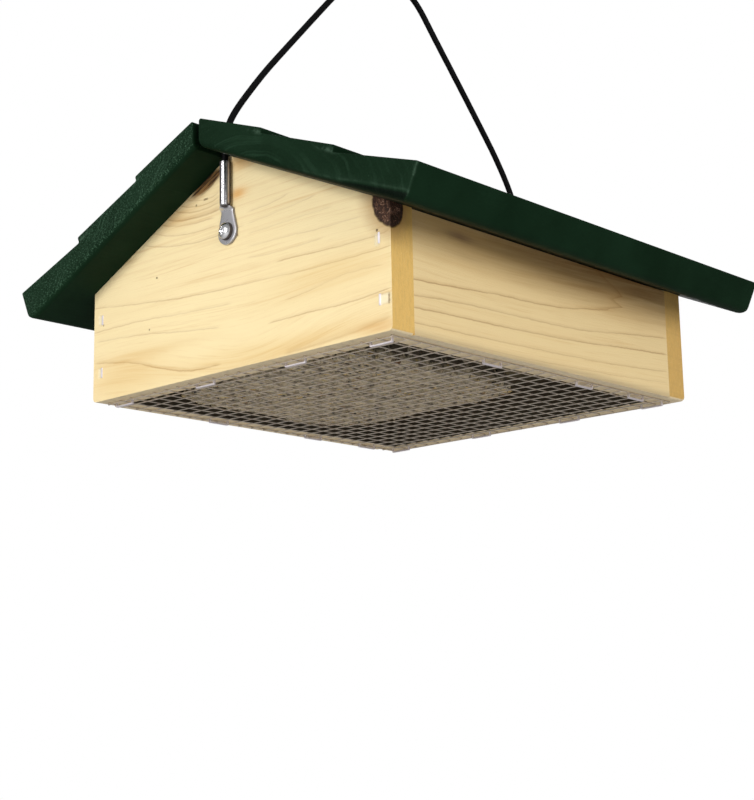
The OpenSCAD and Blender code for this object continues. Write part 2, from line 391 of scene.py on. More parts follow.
    def mix(self, share: "Field | float", first: "bpy.types.NodeSocket | Colour",
            second: "bpy.types.NodeSocket | Colour", way: str = "MIX") -> bpy.types.NodeSocket:
        """Mixes two colours.

        Args:
            share: how much of the second.
            first: colour at share 0.
            second: colour at share 1.
            way: how they blend.

        Returns:
            The mixed colour.
        """
        node = self.add("ShaderNodeMix")
        node.data_type = "RGBA"
        node.blend_type = way
        self.feed(node.inputs[0], share)
        self.feed(node.inputs[6], first)
        self.feed(node.inputs[7], second)
        return node.outputs[2]

    def relief(self, height: Field, depth: float, below: "bpy.types.NodeSocket | None" = None) -> bpy.types.NodeSocket:
        """Bumps of that height.

        Args:
            height: the relief, from 0 to 1.
            depth: height of 1, in metres.
            below: bumps that this one is laid on.

        Returns:
            The bumped direction.
        """
        node = self.add("ShaderNodeBump")
        node.inputs["Strength"].default_value = 1.0
        node.inputs["Distance"].default_value = depth
        self.feed(node.inputs["Height"], height)
        if below is not None:
            self.feed(node.inputs["Normal"], below)
        return node.outputs[0]

    def finish(self, colour: "bpy.types.NodeSocket | Colour", roughness: "Field | float",
               metallic: "Field | float" = 0.0, specular: float = 0.5,
               normal: "bpy.types.NodeSocket | None" = None) -> bpy.types.Material:
        """Sets the shader's sockets.

        Args:
            colour: base colour.
            roughness: roughness.
            metallic: 1 for bare metal.
            specular: specular level.
            normal: bumped direction.

        Returns:
            The finished material.
        """
        self.feed(self.shader.inputs["Base Color"], colour)
        self.feed(self.shader.inputs["Roughness"], roughness)
        self.feed(self.shader.inputs["Metallic"], metallic)
        self.shader.inputs["Specular IOR Level"].default_value = specular
        if normal is not None:
            self.feed(self.shader.inputs["Normal"], normal)
        return self.material


@dataclass(frozen=True)
class Ring:
    """A growth line across a board: its place, its width and how dark it is."""

    at: float
    width: float = 0.9 * MM
    dark: float = 0.6


@dataclass(frozen=True)
class Vein:
    """A growth line that stands out: its places along the board and its height at each, in millimetres.

    An upright one gives heights first, and its places along the board at each.
    """

    path: tuple[tuple[float, float], ...]
    dark: float = 0.6
    width: float = 0.26 * MM
    soft: float = 0.25
    upright: bool = False


@dataclass(frozen=True)
class Bow:
    """A stretch of a board where its growth lines bend aside, fading from one height to another."""

    amount: float
    centre: float
    spread: float
    fade: "tuple[float, float] | None" = None


@dataclass(frozen=True)
class Knot:
    """A knot: centre along and across the board, radii, darkness, and how far lines bend round it.

    The tilt turns it, streaks smear it along the grain, deep gives its centre and radius through the board
    where it doesn't run right through, and bark darkens its rim.
    """

    along: float
    across: float
    long: float
    high: float
    dark: float = 1.0
    bend: float = 0.0
    core: Colour = (0.085, 0.036, 0.016)
    rough: float = 1.0
    tilt: float = 0.0
    streaks: float = 0.0
    deep: "tuple[float, float] | None" = None
    bark: float = 0.0


@dataclass(frozen=True)
class StainAndShadePatch:
    """A soft patch of another tone: centre along and across the board, radii, tone and strength."""

    along: float
    across: float
    long: float
    high: float
    tone: Colour = (0.62, 0.36, 0.12)
    share: float = 0.5


def patches(*rows: "tuple[float | Colour, ...]") -> tuple[StainAndShadePatch, ...]:
    """Soft patches from rows of figures: stains, dents, and patches of painted light and shade.

    Args:
        *rows: centre and radii in millimetres, then tone and strength where they aren't the usual ones.

    Returns:
        The patches, in metres.
    """
    return tuple(StainAndShadePatch(*(figure * MM for figure in row[:4]), *row[4:]) for row in rows)


@dataclass(frozen=True)
class PineFinish:
    """Sanded bare softwood with growth lines, knots, sawn ends, a rough underside and painted shade on inner faces."""

    name: str
    grain: Grain
    rings: tuple[Ring, ...]
    bows: tuple[Bow, ...] = ()
    knots: tuple[Knot, ...] = ()
    stains_and_painted_light: tuple[StainAndShadePatch, ...] = ()
    dents: tuple[StainAndShadePatch, ...] = ()
    veins: tuple[Vein, ...] = ()
    shift: float = 0.0
    threads: float = 0.6
    top: float = 0.105
    wobble: float = 1.5 * MM
    pale: Colour = (0.905, 0.745, 0.425)
    line: Colour = (0.66, 0.405, 0.155)
    vein: Colour = (0.42, 0.225, 0.085)
    end: Colour = (0.84, 0.535, 0.158)
    under: Colour = (0.88, 0.72, 0.47)
    # Painted shade for faces that look into the box, and deeper painted shade low down inside it.
    shaded_inside_tone: Colour = (0.16, 0.105, 0.06)
    haze: Colour = (0.80, 0.62, 0.33)
    deep_inside_shade: Colour = (0.034, 0.026, 0.018)
    sawn_fleck: Colour = (0.86, 0.68, 0.38)
    sawn_line: Colour = (0.46, 0.27, 0.10)
    knot_halo: Colour = (0.40, 0.215, 0.075)
    knot_streak: Colour = (0.30, 0.155, 0.05)
    bark_crest: Colour = (0.44, 0.27, 0.19)
    deep_inside_shade_z: tuple[float, float] = (44 * MM, 20 * MM)
    slant: float = 0.08
    knot_reach: float = 3.6
    grain_relief: float = 0.16 * MM
    pit_relief: float = 1.4 * MM

    def _ring_stops(self) -> list[tuple[float, Colour]]:
        """Stops of a scale that is 0 between growth lines: each rises slowly and ends sharply.

        Returns:
            Places from 0 to 1 and their greys.
        """
        stops: list[tuple[float, Colour]] = [(0.0, (0, 0, 0))]
        for ring in sorted(self.rings, key=lambda r: r.at):
            at, wide = ring.at / self.top, ring.width / self.top
            stops += [(at - wide * 1.5, (0, 0, 0)), (at, (ring.dark,) * 3), (at + wide * 0.6, (0, 0, 0))]
        return stops

    def _draw_veins(self, r: Recipe, along: Field, height: Field, streak: Field) -> Field:
        """Darkness of the lines that stand out: a thin bell round each path, and a soft skirt on one side.

        Args:
            r: the material's recipe.
            along: place along the board.
            height: height above the board's foot.
            streak: noise that thins the lines.

        Returns:
            The darkness, from 0 to 1.
        """
        total = None
        spot = r.point(along * 110.0 + self.shift, 0.0, height * 160.0)
        waver = (r.noise(spot, detail=4.0, rough=0.65) - 0.5) * (1.3 * MM)
        for vein in self.veins:
            read, other = (height, along) if vein.upright else (along, height)
            path = [(a * MM, b * MM) for a, b in vein.path]
            off = other + waver - r.curve(read, path, not vein.upright)
            start, stop = path[0][0], path[-1][0]
            ends = read.rise(start - 3 * MM, start + 2 * MM) * read.rise(stop + 3 * MM, stop - 2 * MM)
            mark = off.bell(0.0, vein.width) * (streak.rise(0.30, 0.60) * 0.65 + 0.35)
            side = -1.0 if vein.upright else 1.0
            mark = mark + off.bell(side * 2.0 * vein.width, 2.6 * vein.width) * vein.soft
            mark = mark * ends * vein.dark
            total = mark if total is None else total.largest(mark)
        return total

    def _mark_knots(self, r: Recipe, colour: bpy.types.NodeSocket, along: Field, depth: Field,
                    z: Field) -> "tuple[bpy.types.NodeSocket, Field | None]":
        """Lays the knots over the wood: each is a turned oval with a ragged edge, a halo and torn bark.

        Args:
            r: the material's recipe.
            colour: the wood's colour so far.
            along: place along the board.
            depth: place through the board.
            z: height.

        Returns:
            The new colour, and how deep the knots' bark is torn, or nothing where there is no knot.
        """
        pit = None
        for knot in self.knots:
            torn = r.noise(r.point(along * 120.0, depth * 160.0, z * 190.0), detail=5.0, rough=0.7)
            across, over = along - knot.along, z - (knot.across + LAYOUT.wood_z)
            c, s = math.cos(knot.tilt), math.sin(knot.tilt)
            level_with, above = across * c + over * s, over * c - across * s
            smear = r.noise(r.point(level_with * 60.0, 0.0, above * 750.0), detail=3.0, rough=0.65)
            one, two = level_with * (1 / knot.long), above * (1 / knot.high)
            distance = one * one + two * two
            if knot.deep is not None:
                three = (depth - knot.deep[0]) * (1 / knot.deep[1])
                distance = distance + three * three
            distance = distance.power(0.5)
            edge = distance + (torn - 0.5) * 0.25 + (smear - 0.5) * knot.streaks
            core = edge.rise(1.04 + knot.streaks * 0.2, 0.94 - knot.streaks * 0.2) * knot.dark
            halo = edge.rise(1.9, 0.9) * knot.dark
            colour = r.mix(halo * (knot.bark * 0.25 + 0.38), colour, self.knot_halo)
            swirl = r.noise(r.place, scale=620.0, detail=4.0, rough=0.75, distortion=1.2)
            bark = r.ramp(swirl, ((0.42, knot.core), (0.50, tuple(c * 2.0 for c in knot.core)),
                                  (0.56, tuple(c * 5.0 for c in knot.core)), (0.64, self.bark_crest)))
            bark = r.mix(distance.rise(0.72, 0.98) * knot.bark * 0.7, bark, tuple(c * 0.8 for c in knot.core))
            if knot.streaks:
                bark = r.mix(smear.rise(0.42, 0.60), knot.core, self.knot_streak)
            colour = r.mix(core, colour, bark)
            hollow = core * (torn * 0.5 + swirl * 0.5) * knot.rough
            pit = hollow if pit is None else pit + hollow
        return colour, pit

    def _press_dents(self, r: Recipe, colour: bpy.types.NodeSocket, pit: "Field | None", along: Field, z: Field,
                     end_facing: Field, fine: Field) -> "tuple[bpy.types.NodeSocket, Field | None]":
        """Presses small ragged dents into the wood.

        Args:
            r: the material's recipe.
            colour: the wood's colour so far.
            pit: depth of the hollows so far.
            along: place along the board.
            z: height.
            end_facing: 1 on sawn ends, which have no dents.
            fine: fine grain that the dents keep.

        Returns:
            The new colour and the depth of all hollows.
        """
        for dent in self.dents:
            ragged = (r.noise(r.place, scale=900.0, detail=2.0) - 0.5) * (1.1 * MM)
            beside = (abs(along - dent.along) + ragged).rise(dent.long * 1.15, dent.long * 0.45)
            level_with = (abs(z - (dent.across + LAYOUT.wood_z)) - ragged).rise(dent.high * 1.1, dent.high * 0.6)
            mark = beside * level_with * (1.0 - end_facing)
            colour = r.mix((mark * dent.share * (fine * 0.8 + 0.6)).clamp(), colour, dent.tone)
            pressed = mark * (fine * 0.6 + 0.4)
            pit = pressed if pit is None else pit + pressed * 0.4
        return colour, pit

    def make(self) -> bpy.types.Material:
        """Builds the material: growth lines are level sets of height plus bends, fibres run with them.

        Returns:
            The material.
        """
        r = Recipe(self.name)
        x, y, z = r.axes()
        nx, ny, nz = r.facing()
        along, depth = (x, y) if self.grain is Grain.ALONG_X else (y, x)
        end_facing = abs(nx if self.grain is Grain.ALONG_X else ny).rise(0.55, 0.85)
        # Growth lines: height above the board's foot, stirred, slanted and bent aside.
        away = r.point(along * 11.0 + self.shift, depth * 14.0, z * 26.0 + self.shift)
        above_foot = z - LAYOUT.wood_z + (r.noise(away, detail=3.0) - 0.5) * (2 * self.wobble)
        level = above_foot + depth * self.slant
        for bow in self.bows:
            bend = along.bell(bow.centre, bow.spread) * bow.amount
            level = level + (bend if bow.fade is None else bend * z.rise(bow.fade[1], bow.fade[0]))
        for knot in self.knots:
            near = along.bell(knot.along, knot.long * self.knot_reach)
            near = near * z.bell(knot.across + LAYOUT.wood_z, knot.high * self.knot_reach)
            level = level + near * knot.bend
        rings = Field(r, r.ramp(level * (1 / self.top), self._ring_stops()))
        # Fibres, from broad to fine, all stretched along the board.
        broad = r.noise(r.point(along * 5.0 + self.shift, depth * 30.0, level * 130.0), detail=2.0)
        streak = r.noise(r.point(along * 13.0 + self.shift, depth * 90.0, level * 420.0), detail=4.0, rough=0.6)
        fine = r.noise(r.point(along * 55.0, depth * 500.0 + self.shift, level * 2100.0), detail=3.0, rough=0.65)
        fibre = r.noise(r.point(along * 260.0, depth * 5200.0, level * 6200.0), detail=2.0)
        worn_line = rings * (streak.rise(0.22, 0.62) * 0.65 + 0.35)
        tone = worn_line + broad.rise(0.46, 0.82) * 0.15 + streak.rise(0.50, 0.86) * 0.22
        thread = r.noise(r.point(along * 18.0 + self.shift, depth * 200.0, level * 880.0), detail=3.0, rough=0.6)
        tone = tone + thread.rise(0.54, 0.70) * (streak * 0.5 + 0.15) * self.threads
        tone = tone + fine.rise(0.50, 0.80) * 0.22 - fine.rise(0.48, 0.2) * 0.08
        colour = r.mix(tone.clamp(), self.pale, self.line)
        if self.veins:
            colour = r.mix(self._draw_veins(r, along, z - LAYOUT.wood_z, streak).clamp(), colour, self.vein)
        # Soft clouds, real stain patches, and patches of painted light and shade.
        cloud = r.noise(r.point(along * 16.0, depth * 16.0, z * 28.0 + self.shift), detail=3.0)
        colour = r.mix(cloud.rise(0.35, 0.75) * 0.12, colour, self.haze)
        for tone_patch in self.stains_and_painted_light:
            patch = along.bell(tone_patch.along, tone_patch.long) * above_foot.bell(tone_patch.across, tone_patch.high)
            colour = r.mix((patch * (streak * 1.5 + 0.1) * tone_patch.share).clamp(), colour, tone_patch.tone)
        # Sawn ends.
        fleck = r.noise(r.place, scale=2600.0, detail=2.0)
        sawn = r.noise(r.point(along * 500.0, depth * 900.0, z * 260.0), detail=3.0, rough=0.7)
        end_tone = r.mix((sawn.rise(0.35, 0.7) * 0.40 + fleck * 0.2).clamp(), self.end,
                         tuple(c * 0.78 for c in self.end))
        speckle = r.noise(r.place, scale=1500.0, detail=3.0, rough=0.7)
        end_tone = r.mix(speckle.rise(0.56, 0.72) * 0.30, end_tone, self.sawn_fleck)
        end_tone = r.mix(rings * 0.3, end_tone, self.sawn_line)
        colour = r.mix(end_facing, colour, end_tone)
        # Painted shade on faces that look into the box, deeper low down inside it, and the rough underside.
        within = (nx * x + ny * y).rise(-20 * MM, -50 * MM)
        colour = r.mix(within * 0.35, colour, self.shaded_inside_tone)
        colour = r.mix(within * z.rise(*self.deep_inside_shade_z) * 0.92, colour, self.deep_inside_shade)
        below = (nz * -1.0).rise(0.55, 0.8)
        scuff = r.noise(r.point(x * 300.0, y * 300.0, z * 300.0), detail=4.0, rough=0.7)
        under_tone = r.mix(scuff.rise(0.48, 0.75) * 0.45, self.under, tuple(c * 0.50 for c in self.under))
        colour = r.mix(below * (scuff * 0.4 + 0.7), colour, under_tone)
        height = fine * 0.5 + fibre * 0.5 - worn_line * 0.4 + end_facing * sawn * 1.6 + below * scuff * 3.0
        # Knots, dents and relief.
        colour, pit = self._mark_knots(r, colour, along, depth, z)
        colour, pit = self._press_dents(r, colour, pit, along, z, end_facing, fine)
        bumps = r.relief(height, self.grain_relief)
        if pit is not None:
            bumps = r.relief(1.0 - pit, self.pit_relief, bumps)
        return r.finish(colour, fine * 0.16 + 0.50, specular=0.28, normal=bumps)


@dataclass(frozen=True)
class PaintFinish:
    """Dark green paint over wood: smooth on the faces, rough and flecked on the sawn ends."""

    name: str = "green_paint"
    deep: Colour = (0.0040, 0.0150, 0.0060)
    light: Colour = (0.0090, 0.0290, 0.0135)
    worn: Colour = (0.055, 0.115, 0.070)
    scuffed_and_highlight: Colour = (0.13, 0.22, 0.15)
    shade: Colour = (0.0012, 0.0022, 0.0014)
    pitch: float = 24.8
    run: float = 132.2 * MM
    half_length: float = 122.3 * MM
    noses: tuple[tuple[float, float], ...] = ((39.5 * MM, 12.0 * MM), (85.4 * MM, 12.0 * MM))
    lip_line: tuple[tuple[float, float], ...] = (
        (0.0, 1.2 * MM), (0.085, 1.8 * MM), (0.105, 3.4 * MM), (0.125, 4.6 * MM), (132.2 * MM, 5.0 * MM))

    def make(self) -> bpy.types.Material:
        """Builds the material: growth arcs and flecks show on the ends, faint grain elsewhere, worn edges, painted
        highlight and painted shade.

        Down and up are places along and out of a board's underside, with the ridge at 0.

        Returns:
            The material.
        """
        r = Recipe(self.name)
        x, y, z = r.axes()
        nx, ny, nz = r.facing()
        c, s = math.cos(math.radians(self.pitch)), math.sin(math.radians(self.pitch))
        down = abs(x) * c - (z - LAYOUT.apex_z) * s
        up = abs(x) * s + (z - LAYOUT.apex_z) * c
        # End grain under the paint: arcs round a bowl on the right board, a feather on the left one.
        ends = abs(ny).rise(0.6, 0.9)
        stirred = r.noise(r.point(x * 26.0, y * 5.0, z * 34.0), detail=4.0, rough=0.6)
        right = x.rise(-1 * MM, 1 * MM)
        bowl, rise_up = down - 47 * MM, up + 7 * MM
        arcs_at = (bowl * bowl * 0.22 + rise_up * rise_up).power(0.5) + stirred * (7 * MM)
        feather = down * 0.5 + up * 0.9 + stirred * (16 * MM)
        arcs_at = arcs_at * right + feather * (1.0 - right)
        arcs = r.noise(r.point(arcs_at * 620.0, 0.0, x * 9.0), detail=3.0, rough=0.6).rise(0.50, 0.62)
        arcs = arcs * (r.noise(r.place, scale=85.0, detail=2.0).rise(0.36, 0.62) * 0.85 + 0.15)
        grit = r.noise(r.place, scale=1300.0, detail=4.0, rough=0.75)
        fleck = r.noise(r.point(x * 900.0, y * 300.0, z * 900.0), detail=3.0, rough=0.65)
        grain = r.noise(r.point(x * 620.0, y * 16.0, z * 620.0), detail=3.0)
        cloud = r.noise(r.place, scale=38.0, detail=3.0)
        # Colour: lighter marks on the ends, flecks and faint grain, and painted shade on the right board's underside.
        colour = r.mix(cloud.rise(0.3, 0.75) * 0.45, self.deep, self.light)
        near_eave = down.rise(50 * MM, 95 * MM) * right
        soft_marks = (arcs * 0.42 + grit.rise(0.46, 0.62) * 0.22) * (1.0 - near_eave * 0.5)
        colour = r.mix(ends * soft_marks, colour, self.light)
        hard_marks = arcs * (0.22 - right * 0.13) + grit.rise(0.51, 0.64) * (0.85 - right * 0.80)
        colour = r.mix(ends * hard_marks.clamp(), colour, self.worn)
        # Painted shade: the right board's underside, which faces down and away from the side lamp, goes near black.
        shaded = (nz * -1.0).rise(0.4, 0.7) * (nx * x).rise(-0.01, -0.03) * right
        colour = r.mix(shaded * 0.6, colour, self.shade)
        colour = r.mix(fleck.rise(0.70, 0.78) * (ends * 0.6 + 0.12), colour, self.worn)
        colour = r.mix((1.0 - ends) * grain.rise(0.60, 0.78) * 0.25, colour, self.light)
        # Painted light and wear along the eave: its lower lip, its front corner and the noses of the laps.
        wear = r.noise(r.place, scale=170.0, detail=4.0, rough=0.7)
        rubbed = wear.rise(0.40, 0.60)
        # The eave's front corner gets a lighter line, partly worn paint and partly painted highlight.
        corner = down.bell(self.run, 0.7 * MM) * abs(y).bell(self.half_length, 0.7 * MM) * up.rise(2 * MM, 4 * MM)
        # Along the lower lip: a painted highlight, and painted shade below it.
        lip = up - r.curve(down, self.lip_line)
        glint = lip.bell(0.0, 0.5 * MM) * 0.10 + lip.bell(0.9 * MM, 1.4 * MM) * 0.02
        edge = ends * near_eave * glint * (rubbed * 0.7 + 0.3)
        colour = r.mix(ends * near_eave * lip.rise(-0.4 * MM, -1.8 * MM) * 0.80, colour, self.shade)
        marks = corner * (rubbed * 0.25 + 0.05) * right + edge
        # Worn paint on the noses of the laps.
        for along, height in self.noses:
            marks = marks + ends * down.bell(along - 3 * MM, 5 * MM) * up.bell(height, 0.9 * MM) * rubbed * 0.3
        colour = r.mix(marks.clamp(), colour, self.scuffed_and_highlight)
        height = ends * (arcs * 0.9 + grit * 1.4 + fleck * 0.8) + (1.0 - ends) * (grain * 0.5 + cloud * 0.6)
        bumps = r.relief(height, 0.14 * MM)
        return r.finish(colour, grit * 0.16 + 0.42, specular=0.03, normal=bumps)


class Metal(Enum):
    """The feeder's bare metals: colour, roughness and how mottled each is."""

    ZINC_WIRE = ((0.78, 0.69, 0.59), 0.50, 0.45)
    STAPLE = ((0.86, 0.81, 0.84), 0.55, 0.22)
    LUG = ((0.80, 0.79, 0.82), 0.20, 0.12)
    SCREW = ((0.85, 0.85, 0.86), 0.16, 0.10)


@dataclass(frozen=True)
class MetalFinish:
    """Bare or galvanised metal with fine handling marks."""

    name: str
    metal: Metal
    shade_and_dull_mark: "tuple[str, Colour] | None" = None

    def make(self) -> bpy.types.Material:
        """Builds the material: mottled colour and roughness, shallow dents, and a dark tone where the mesh marks it.

        Returns:
            The material.
        """
        tone, rough, mottled = self.metal.value
        r = Recipe(self.name)
        blotch = r.noise(r.place, scale=420.0, detail=4.0, rough=0.6)
        fine = r.noise(r.place, scale=3200.0, detail=3.0)
        share = (blotch.rise(0.35, 0.7) * mottled + fine * mottled * 0.3).clamp()
        colour = r.mix(share, tone, tuple(c * 0.62 for c in tone))
        roughness = blotch * 0.14 + rough
        bare: "Field | float" = 1.0
        # Where the mesh marks it: painted shade and painted dark reflections, and on the lug's palm duller metal.
        if self.shade_and_dull_mark is not None:
            name, shade_and_dull_colour = self.shade_and_dull_mark
            dull = r.attribute(name)
            colour = r.mix((dull * (fine * 0.5 + 0.75)).clamp(), colour, shade_and_dull_colour)
            roughness = roughness + dull * 0.20
            bare = (1.0 - dull * 0.9).clamp()
        bumps = r.relief(blotch * 0.6 + fine * 0.4, 0.06 * MM * (0.4 + mottled))
        return r.finish(colour, roughness, metallic=bare, specular=0.1, normal=bumps)


@dataclass(frozen=True)
class CoatingFinish:
    """Black plastic coating over a stranded steel cable."""

    name: str = "black_coating"
    black: Colour = (0.0025, 0.0025, 0.0027)
    scuffed_and_highlight: Colour = (0.022, 0.022, 0.024)

    def make(self) -> bpy.types.Material:
        """Builds the material: the strands' helix is in the mesh, scuffs are in the colour and roughness, and the
        strand crests get a painted highlight.

        Returns:
            The material.
        """
        r = Recipe(self.name)
        scuff = r.noise(r.place, scale=650.0, detail=4.0, rough=0.7)
        lay = r.attribute("strand")
        # Lighter scuffs, and a painted highlight along the strand crests.
        colour = r.mix((scuff.rise(0.55, 0.75) * 0.30 + lay * 0.15).clamp(), self.black, self.scuffed_and_highlight)
        bumps = r.relief(scuff, 0.05 * MM)
        return r.finish(colour, scuff * 0.2 + 0.40, specular=0.06, normal=bumps)


@dataclass(frozen=True)
class SuetFinish:
    """Pressed suet: grey fat full of seed, grain and husk."""

    name: str = "suet"
    grain_scale: float = 420.0
    grains: tuple[tuple[float, Colour], ...] = (
        (0.00, (0.030, 0.024, 0.018)), (0.12, (0.070, 0.052, 0.034)), (0.22, (0.330, 0.250, 0.150)),
        (0.38, (0.500, 0.410, 0.280)), (0.55, (0.430, 0.380, 0.270)), (0.70, (0.660, 0.540, 0.360)),
        (0.84, (0.540, 0.370, 0.190)), (0.93, (0.200, 0.205, 0.135)), (0.975, (0.760, 0.560, 0.200)))
    binder: tuple[Colour, Colour] = ((0.48, 0.385, 0.24), (0.68, 0.56, 0.375))
    gap: Colour = (0.040, 0.030, 0.022)
    shaded_side: Colour = (0.018, 0.014, 0.010)
    husk: Colour = (0.120, 0.115, 0.080)
    hollow: Colour = (0.110, 0.088, 0.060)
    fat: Colour = (0.860, 0.720, 0.500)
    bloom: Colour = (0.62, 0.50, 0.34)

    def make(self) -> bpy.types.Material:
        """Builds the material: grains of several tones in a grey binder, with dark gaps between them.

        Returns:
            The material.
        """
        r = Recipe(self.name)
        stir = r.noise(r.place, scale=140.0, detail=3.0)
        x, y, z = r.axes()
        moved = r.point(x + stir * (3 * MM), y - stir * (3 * MM), z)
        distance, own = r.cells(moved, self.grain_scale)
        pick = r.add("ShaderNodeSeparateColor")
        r.feed(pick.inputs[0], own)
        grains = r.ramp(Field(r, pick.outputs[0]), self.grains)
        binder = r.mix(stir.rise(0.3, 0.7), *self.binder)
        colour = r.mix(distance.rise(1.1 * MM * self.grain_scale, 0.6 * MM * self.grain_scale), binder, grains)
        gaps = r.noise(r.place, scale=300.0, detail=4.0, rough=0.7)
        colour = r.mix(gaps.rise(0.53, 0.59) * 0.95, colour, self.gap)
        colour = r.mix(z.rise(5 * MM, 8 * MM) * z.rise(33 * MM, 30 * MM) * 0.92, colour, self.shaded_side)
        patch = r.noise(r.place, scale=60.0, detail=2.0)
        colour = r.mix(patch.rise(0.5, 0.75) * 0.30, colour, self.husk)
        lumps = r.noise(r.place, scale=190.0, detail=3.0, rough=0.7)
        colour = r.mix(lumps.rise(0.53, 0.60) * 0.60, colour, self.hollow)
        colour = r.mix(lumps.rise(0.45, 0.38) * 0.55, colour, self.fat)
        bumps = r.relief(distance * -0.8 + gaps * 0.6, 0.9 * MM)
        colour = r.mix(0.14, colour, self.bloom, "SCREEN")
        return r.finish(colour, 0.62, specular=0.2, normal=bumps)


@dataclass(frozen=True)
class SeedFinish:
    """Loose seed pressed into the cake, each with its own tone."""

    name: str = "seed"
    husks: tuple[tuple[float, Colour], ...] = (
        (0.00, (0.020, 0.017, 0.015)), (0.20, (0.055, 0.045, 0.036)), (0.28, (0.400, 0.300, 0.170)),
        (0.48, (0.640, 0.520, 0.340)), (0.62, (0.460, 0.420, 0.320)), (0.76, (0.720, 0.510, 0.200)),
        (0.86, (0.280, 0.150, 0.070)), (0.94, (0.200, 0.215, 0.160)), (1.00, (0.820, 0.620, 0.260)))
    streaked: Colour = (0.120, 0.090, 0.060)

    def make(self) -> bpy.types.Material:
        """Builds the material: each seed's tone comes from the mesh, its husk streaks from noise.

        Returns:
            The material.
        """
        r = Recipe(self.name)
        husk = r.ramp(r.attribute("tone"), self.husks)
        streak = r.noise(r.place, scale=1500.0, detail=3.0)
        colour = r.mix(streak.rise(0.4, 0.75) * 0.45, husk, self.streaked)
        return r.finish(colour, streak * 0.2 + 0.42, specular=0.4, normal=r.relief(streak, 0.12 * MM))


def smooth_step(share: np.ndarray) -> np.ndarray:
    """Eases a share from 0 to 1: 3 times its square minus twice its cube."""
    return share * share * (3 - 2 * share)


def circle(count: int) -> np.ndarray:
    """Evenly spaced angles once round, without the last one."""
    return np.linspace(0, 2 * np.pi, count, endpoint=False)


def squared_off(wave: np.ndarray, power: "float | np.ndarray") -> np.ndarray:
    """Cosine or sine raised to a power below 1, sign kept, which squares off a circle made with it."""
    return np.sign(wave) * np.abs(wave) ** power


def noise_field(points: np.ndarray, cell: float, seed: float) -> np.ndarray:
    """Smooth random numbers from -1 to 1, mixed between the corners of a lattice of cells.

    A corner's number is the fraction left of a large multiple of the sine of its weighted place.

    Args:
        points: places, with X, Y and Z on the last axis.
        cell: edge of a lattice cell.
        seed: picks another field.

    Returns:
        One number for each place.
    """
    scaled = points / cell
    base = np.floor(scaled)
    part = smooth_step(scaled - base)
    total = np.zeros(points.shape[:-1])
    for corner in np.ndindex(2, 2, 2):
        at = base + corner
        raw = np.sin(at @ LATTICE_WEIGHTS + seed * SEED_STEP) * LATTICE_SPREAD
        weight = np.prod(np.where(np.array(corner) == 1, part, 1 - part), axis=-1)
        total += weight * (raw - np.floor(raw))
    return total * 2 - 1


def grid_faces(rows: int, columns: int) -> np.ndarray:
    """Four-sided faces between neighbouring points of a grid of closed rows, counted row by row.

    Args:
        rows: how many rows.
        columns: how many points in a row.

    Returns:
        Four point numbers for each face.
    """
    row = np.arange(rows - 1)[:, None] * columns
    column = np.arange(columns)[None, :]
    after = (column + 1) % columns
    corners = [row + column, row + after, row + columns + after, row + columns + column]
    return np.stack(corners, -1).reshape(-1, 4)


def new_object(name: str, points: np.ndarray, faces: Sequence[Sequence[int]], smooth: bool = True) -> bpy.types.Object:
    """Makes a mesh object at the origin, with its faces turned outwards.

    Args:
        name: the object's name.
        points: places of its points.
        faces: point numbers of its faces.
        smooth: whether it is shaded smooth.

    Returns:
        The new object.
    """
    mesh = bpy.data.meshes.new(name)
    mesh.from_pydata(points.reshape(-1, 3).tolist(), [], [tuple(map(int, f)) for f in faces])
    work = bmesh.new()
    work.from_mesh(mesh)
    bmesh.ops.recalc_face_normals(work, faces=work.faces)
    work.to_mesh(mesh)
    work.free()
    mesh.polygons.foreach_set("use_smooth", np.full(len(mesh.polygons), smooth))
    mesh.update()
    thing = bpy.data.objects.new(name, mesh)
    bpy.context.scene.collection.objects.link(thing)
    return thing


def skin(name: str, rings: np.ndarray, smooth: bool = True) -> bpy.types.Object:
    """Covers a run of closed rings and closes both ends with a middle point.

    Args:
        name: the object's name.
        rings: places, as rings by points by XYZ.
        smooth: whether it is shaded smooth.

    Returns:
        The new object.
    """
    count, sides, _ = rings.shape
    points = np.concatenate([rings.reshape(-1, 3), rings[:1].mean(1), rings[-1:].mean(1)])
    faces = grid_faces(count, sides).tolist()
    near = np.arange(sides)
    after = (near + 1) % sides
    faces += np.stack([near, np.full(sides, count * sides), after], -1).tolist()
    last = (count - 1) * sides
    faces += np.stack([last + near, last + after, np.full(sides, count * sides + 1)], -1).tolist()
    return new_object(name, points, faces, smooth)


def mark_points(thing: bpy.types.Object, name: str, values: np.ndarray) -> None:
    """Stores one number for each point of a mesh, for its material to read.

    Args:
        thing: the object.
        name: the attribute's name.
        values: the numbers.
    """
    layer = thing.data.attributes.new(name, "FLOAT", "POINT")
    layer.data.foreach_set("value", values.astype(np.float32))


def settle(thing: bpy.types.Object, finish: bpy.types.Material, body: Body, slot: Slot, *nodes: str) -> None:
    """Gives a new piece its finish and its body, and hides the CAD nodes that it stands for.

    Args:
        thing: the piece.
        finish: its material.
        body: the body it moves with.
        slot: its material slot; not used.
        *nodes: CAD nodes that it replaces.
    """
    thing.data.materials.append(finish)
    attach(thing, body.value)
    if nodes:
        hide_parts(*nodes)
    LOG.info("%s: %d faces on %s", thing.name, len(thing.data.polygons), body.value)


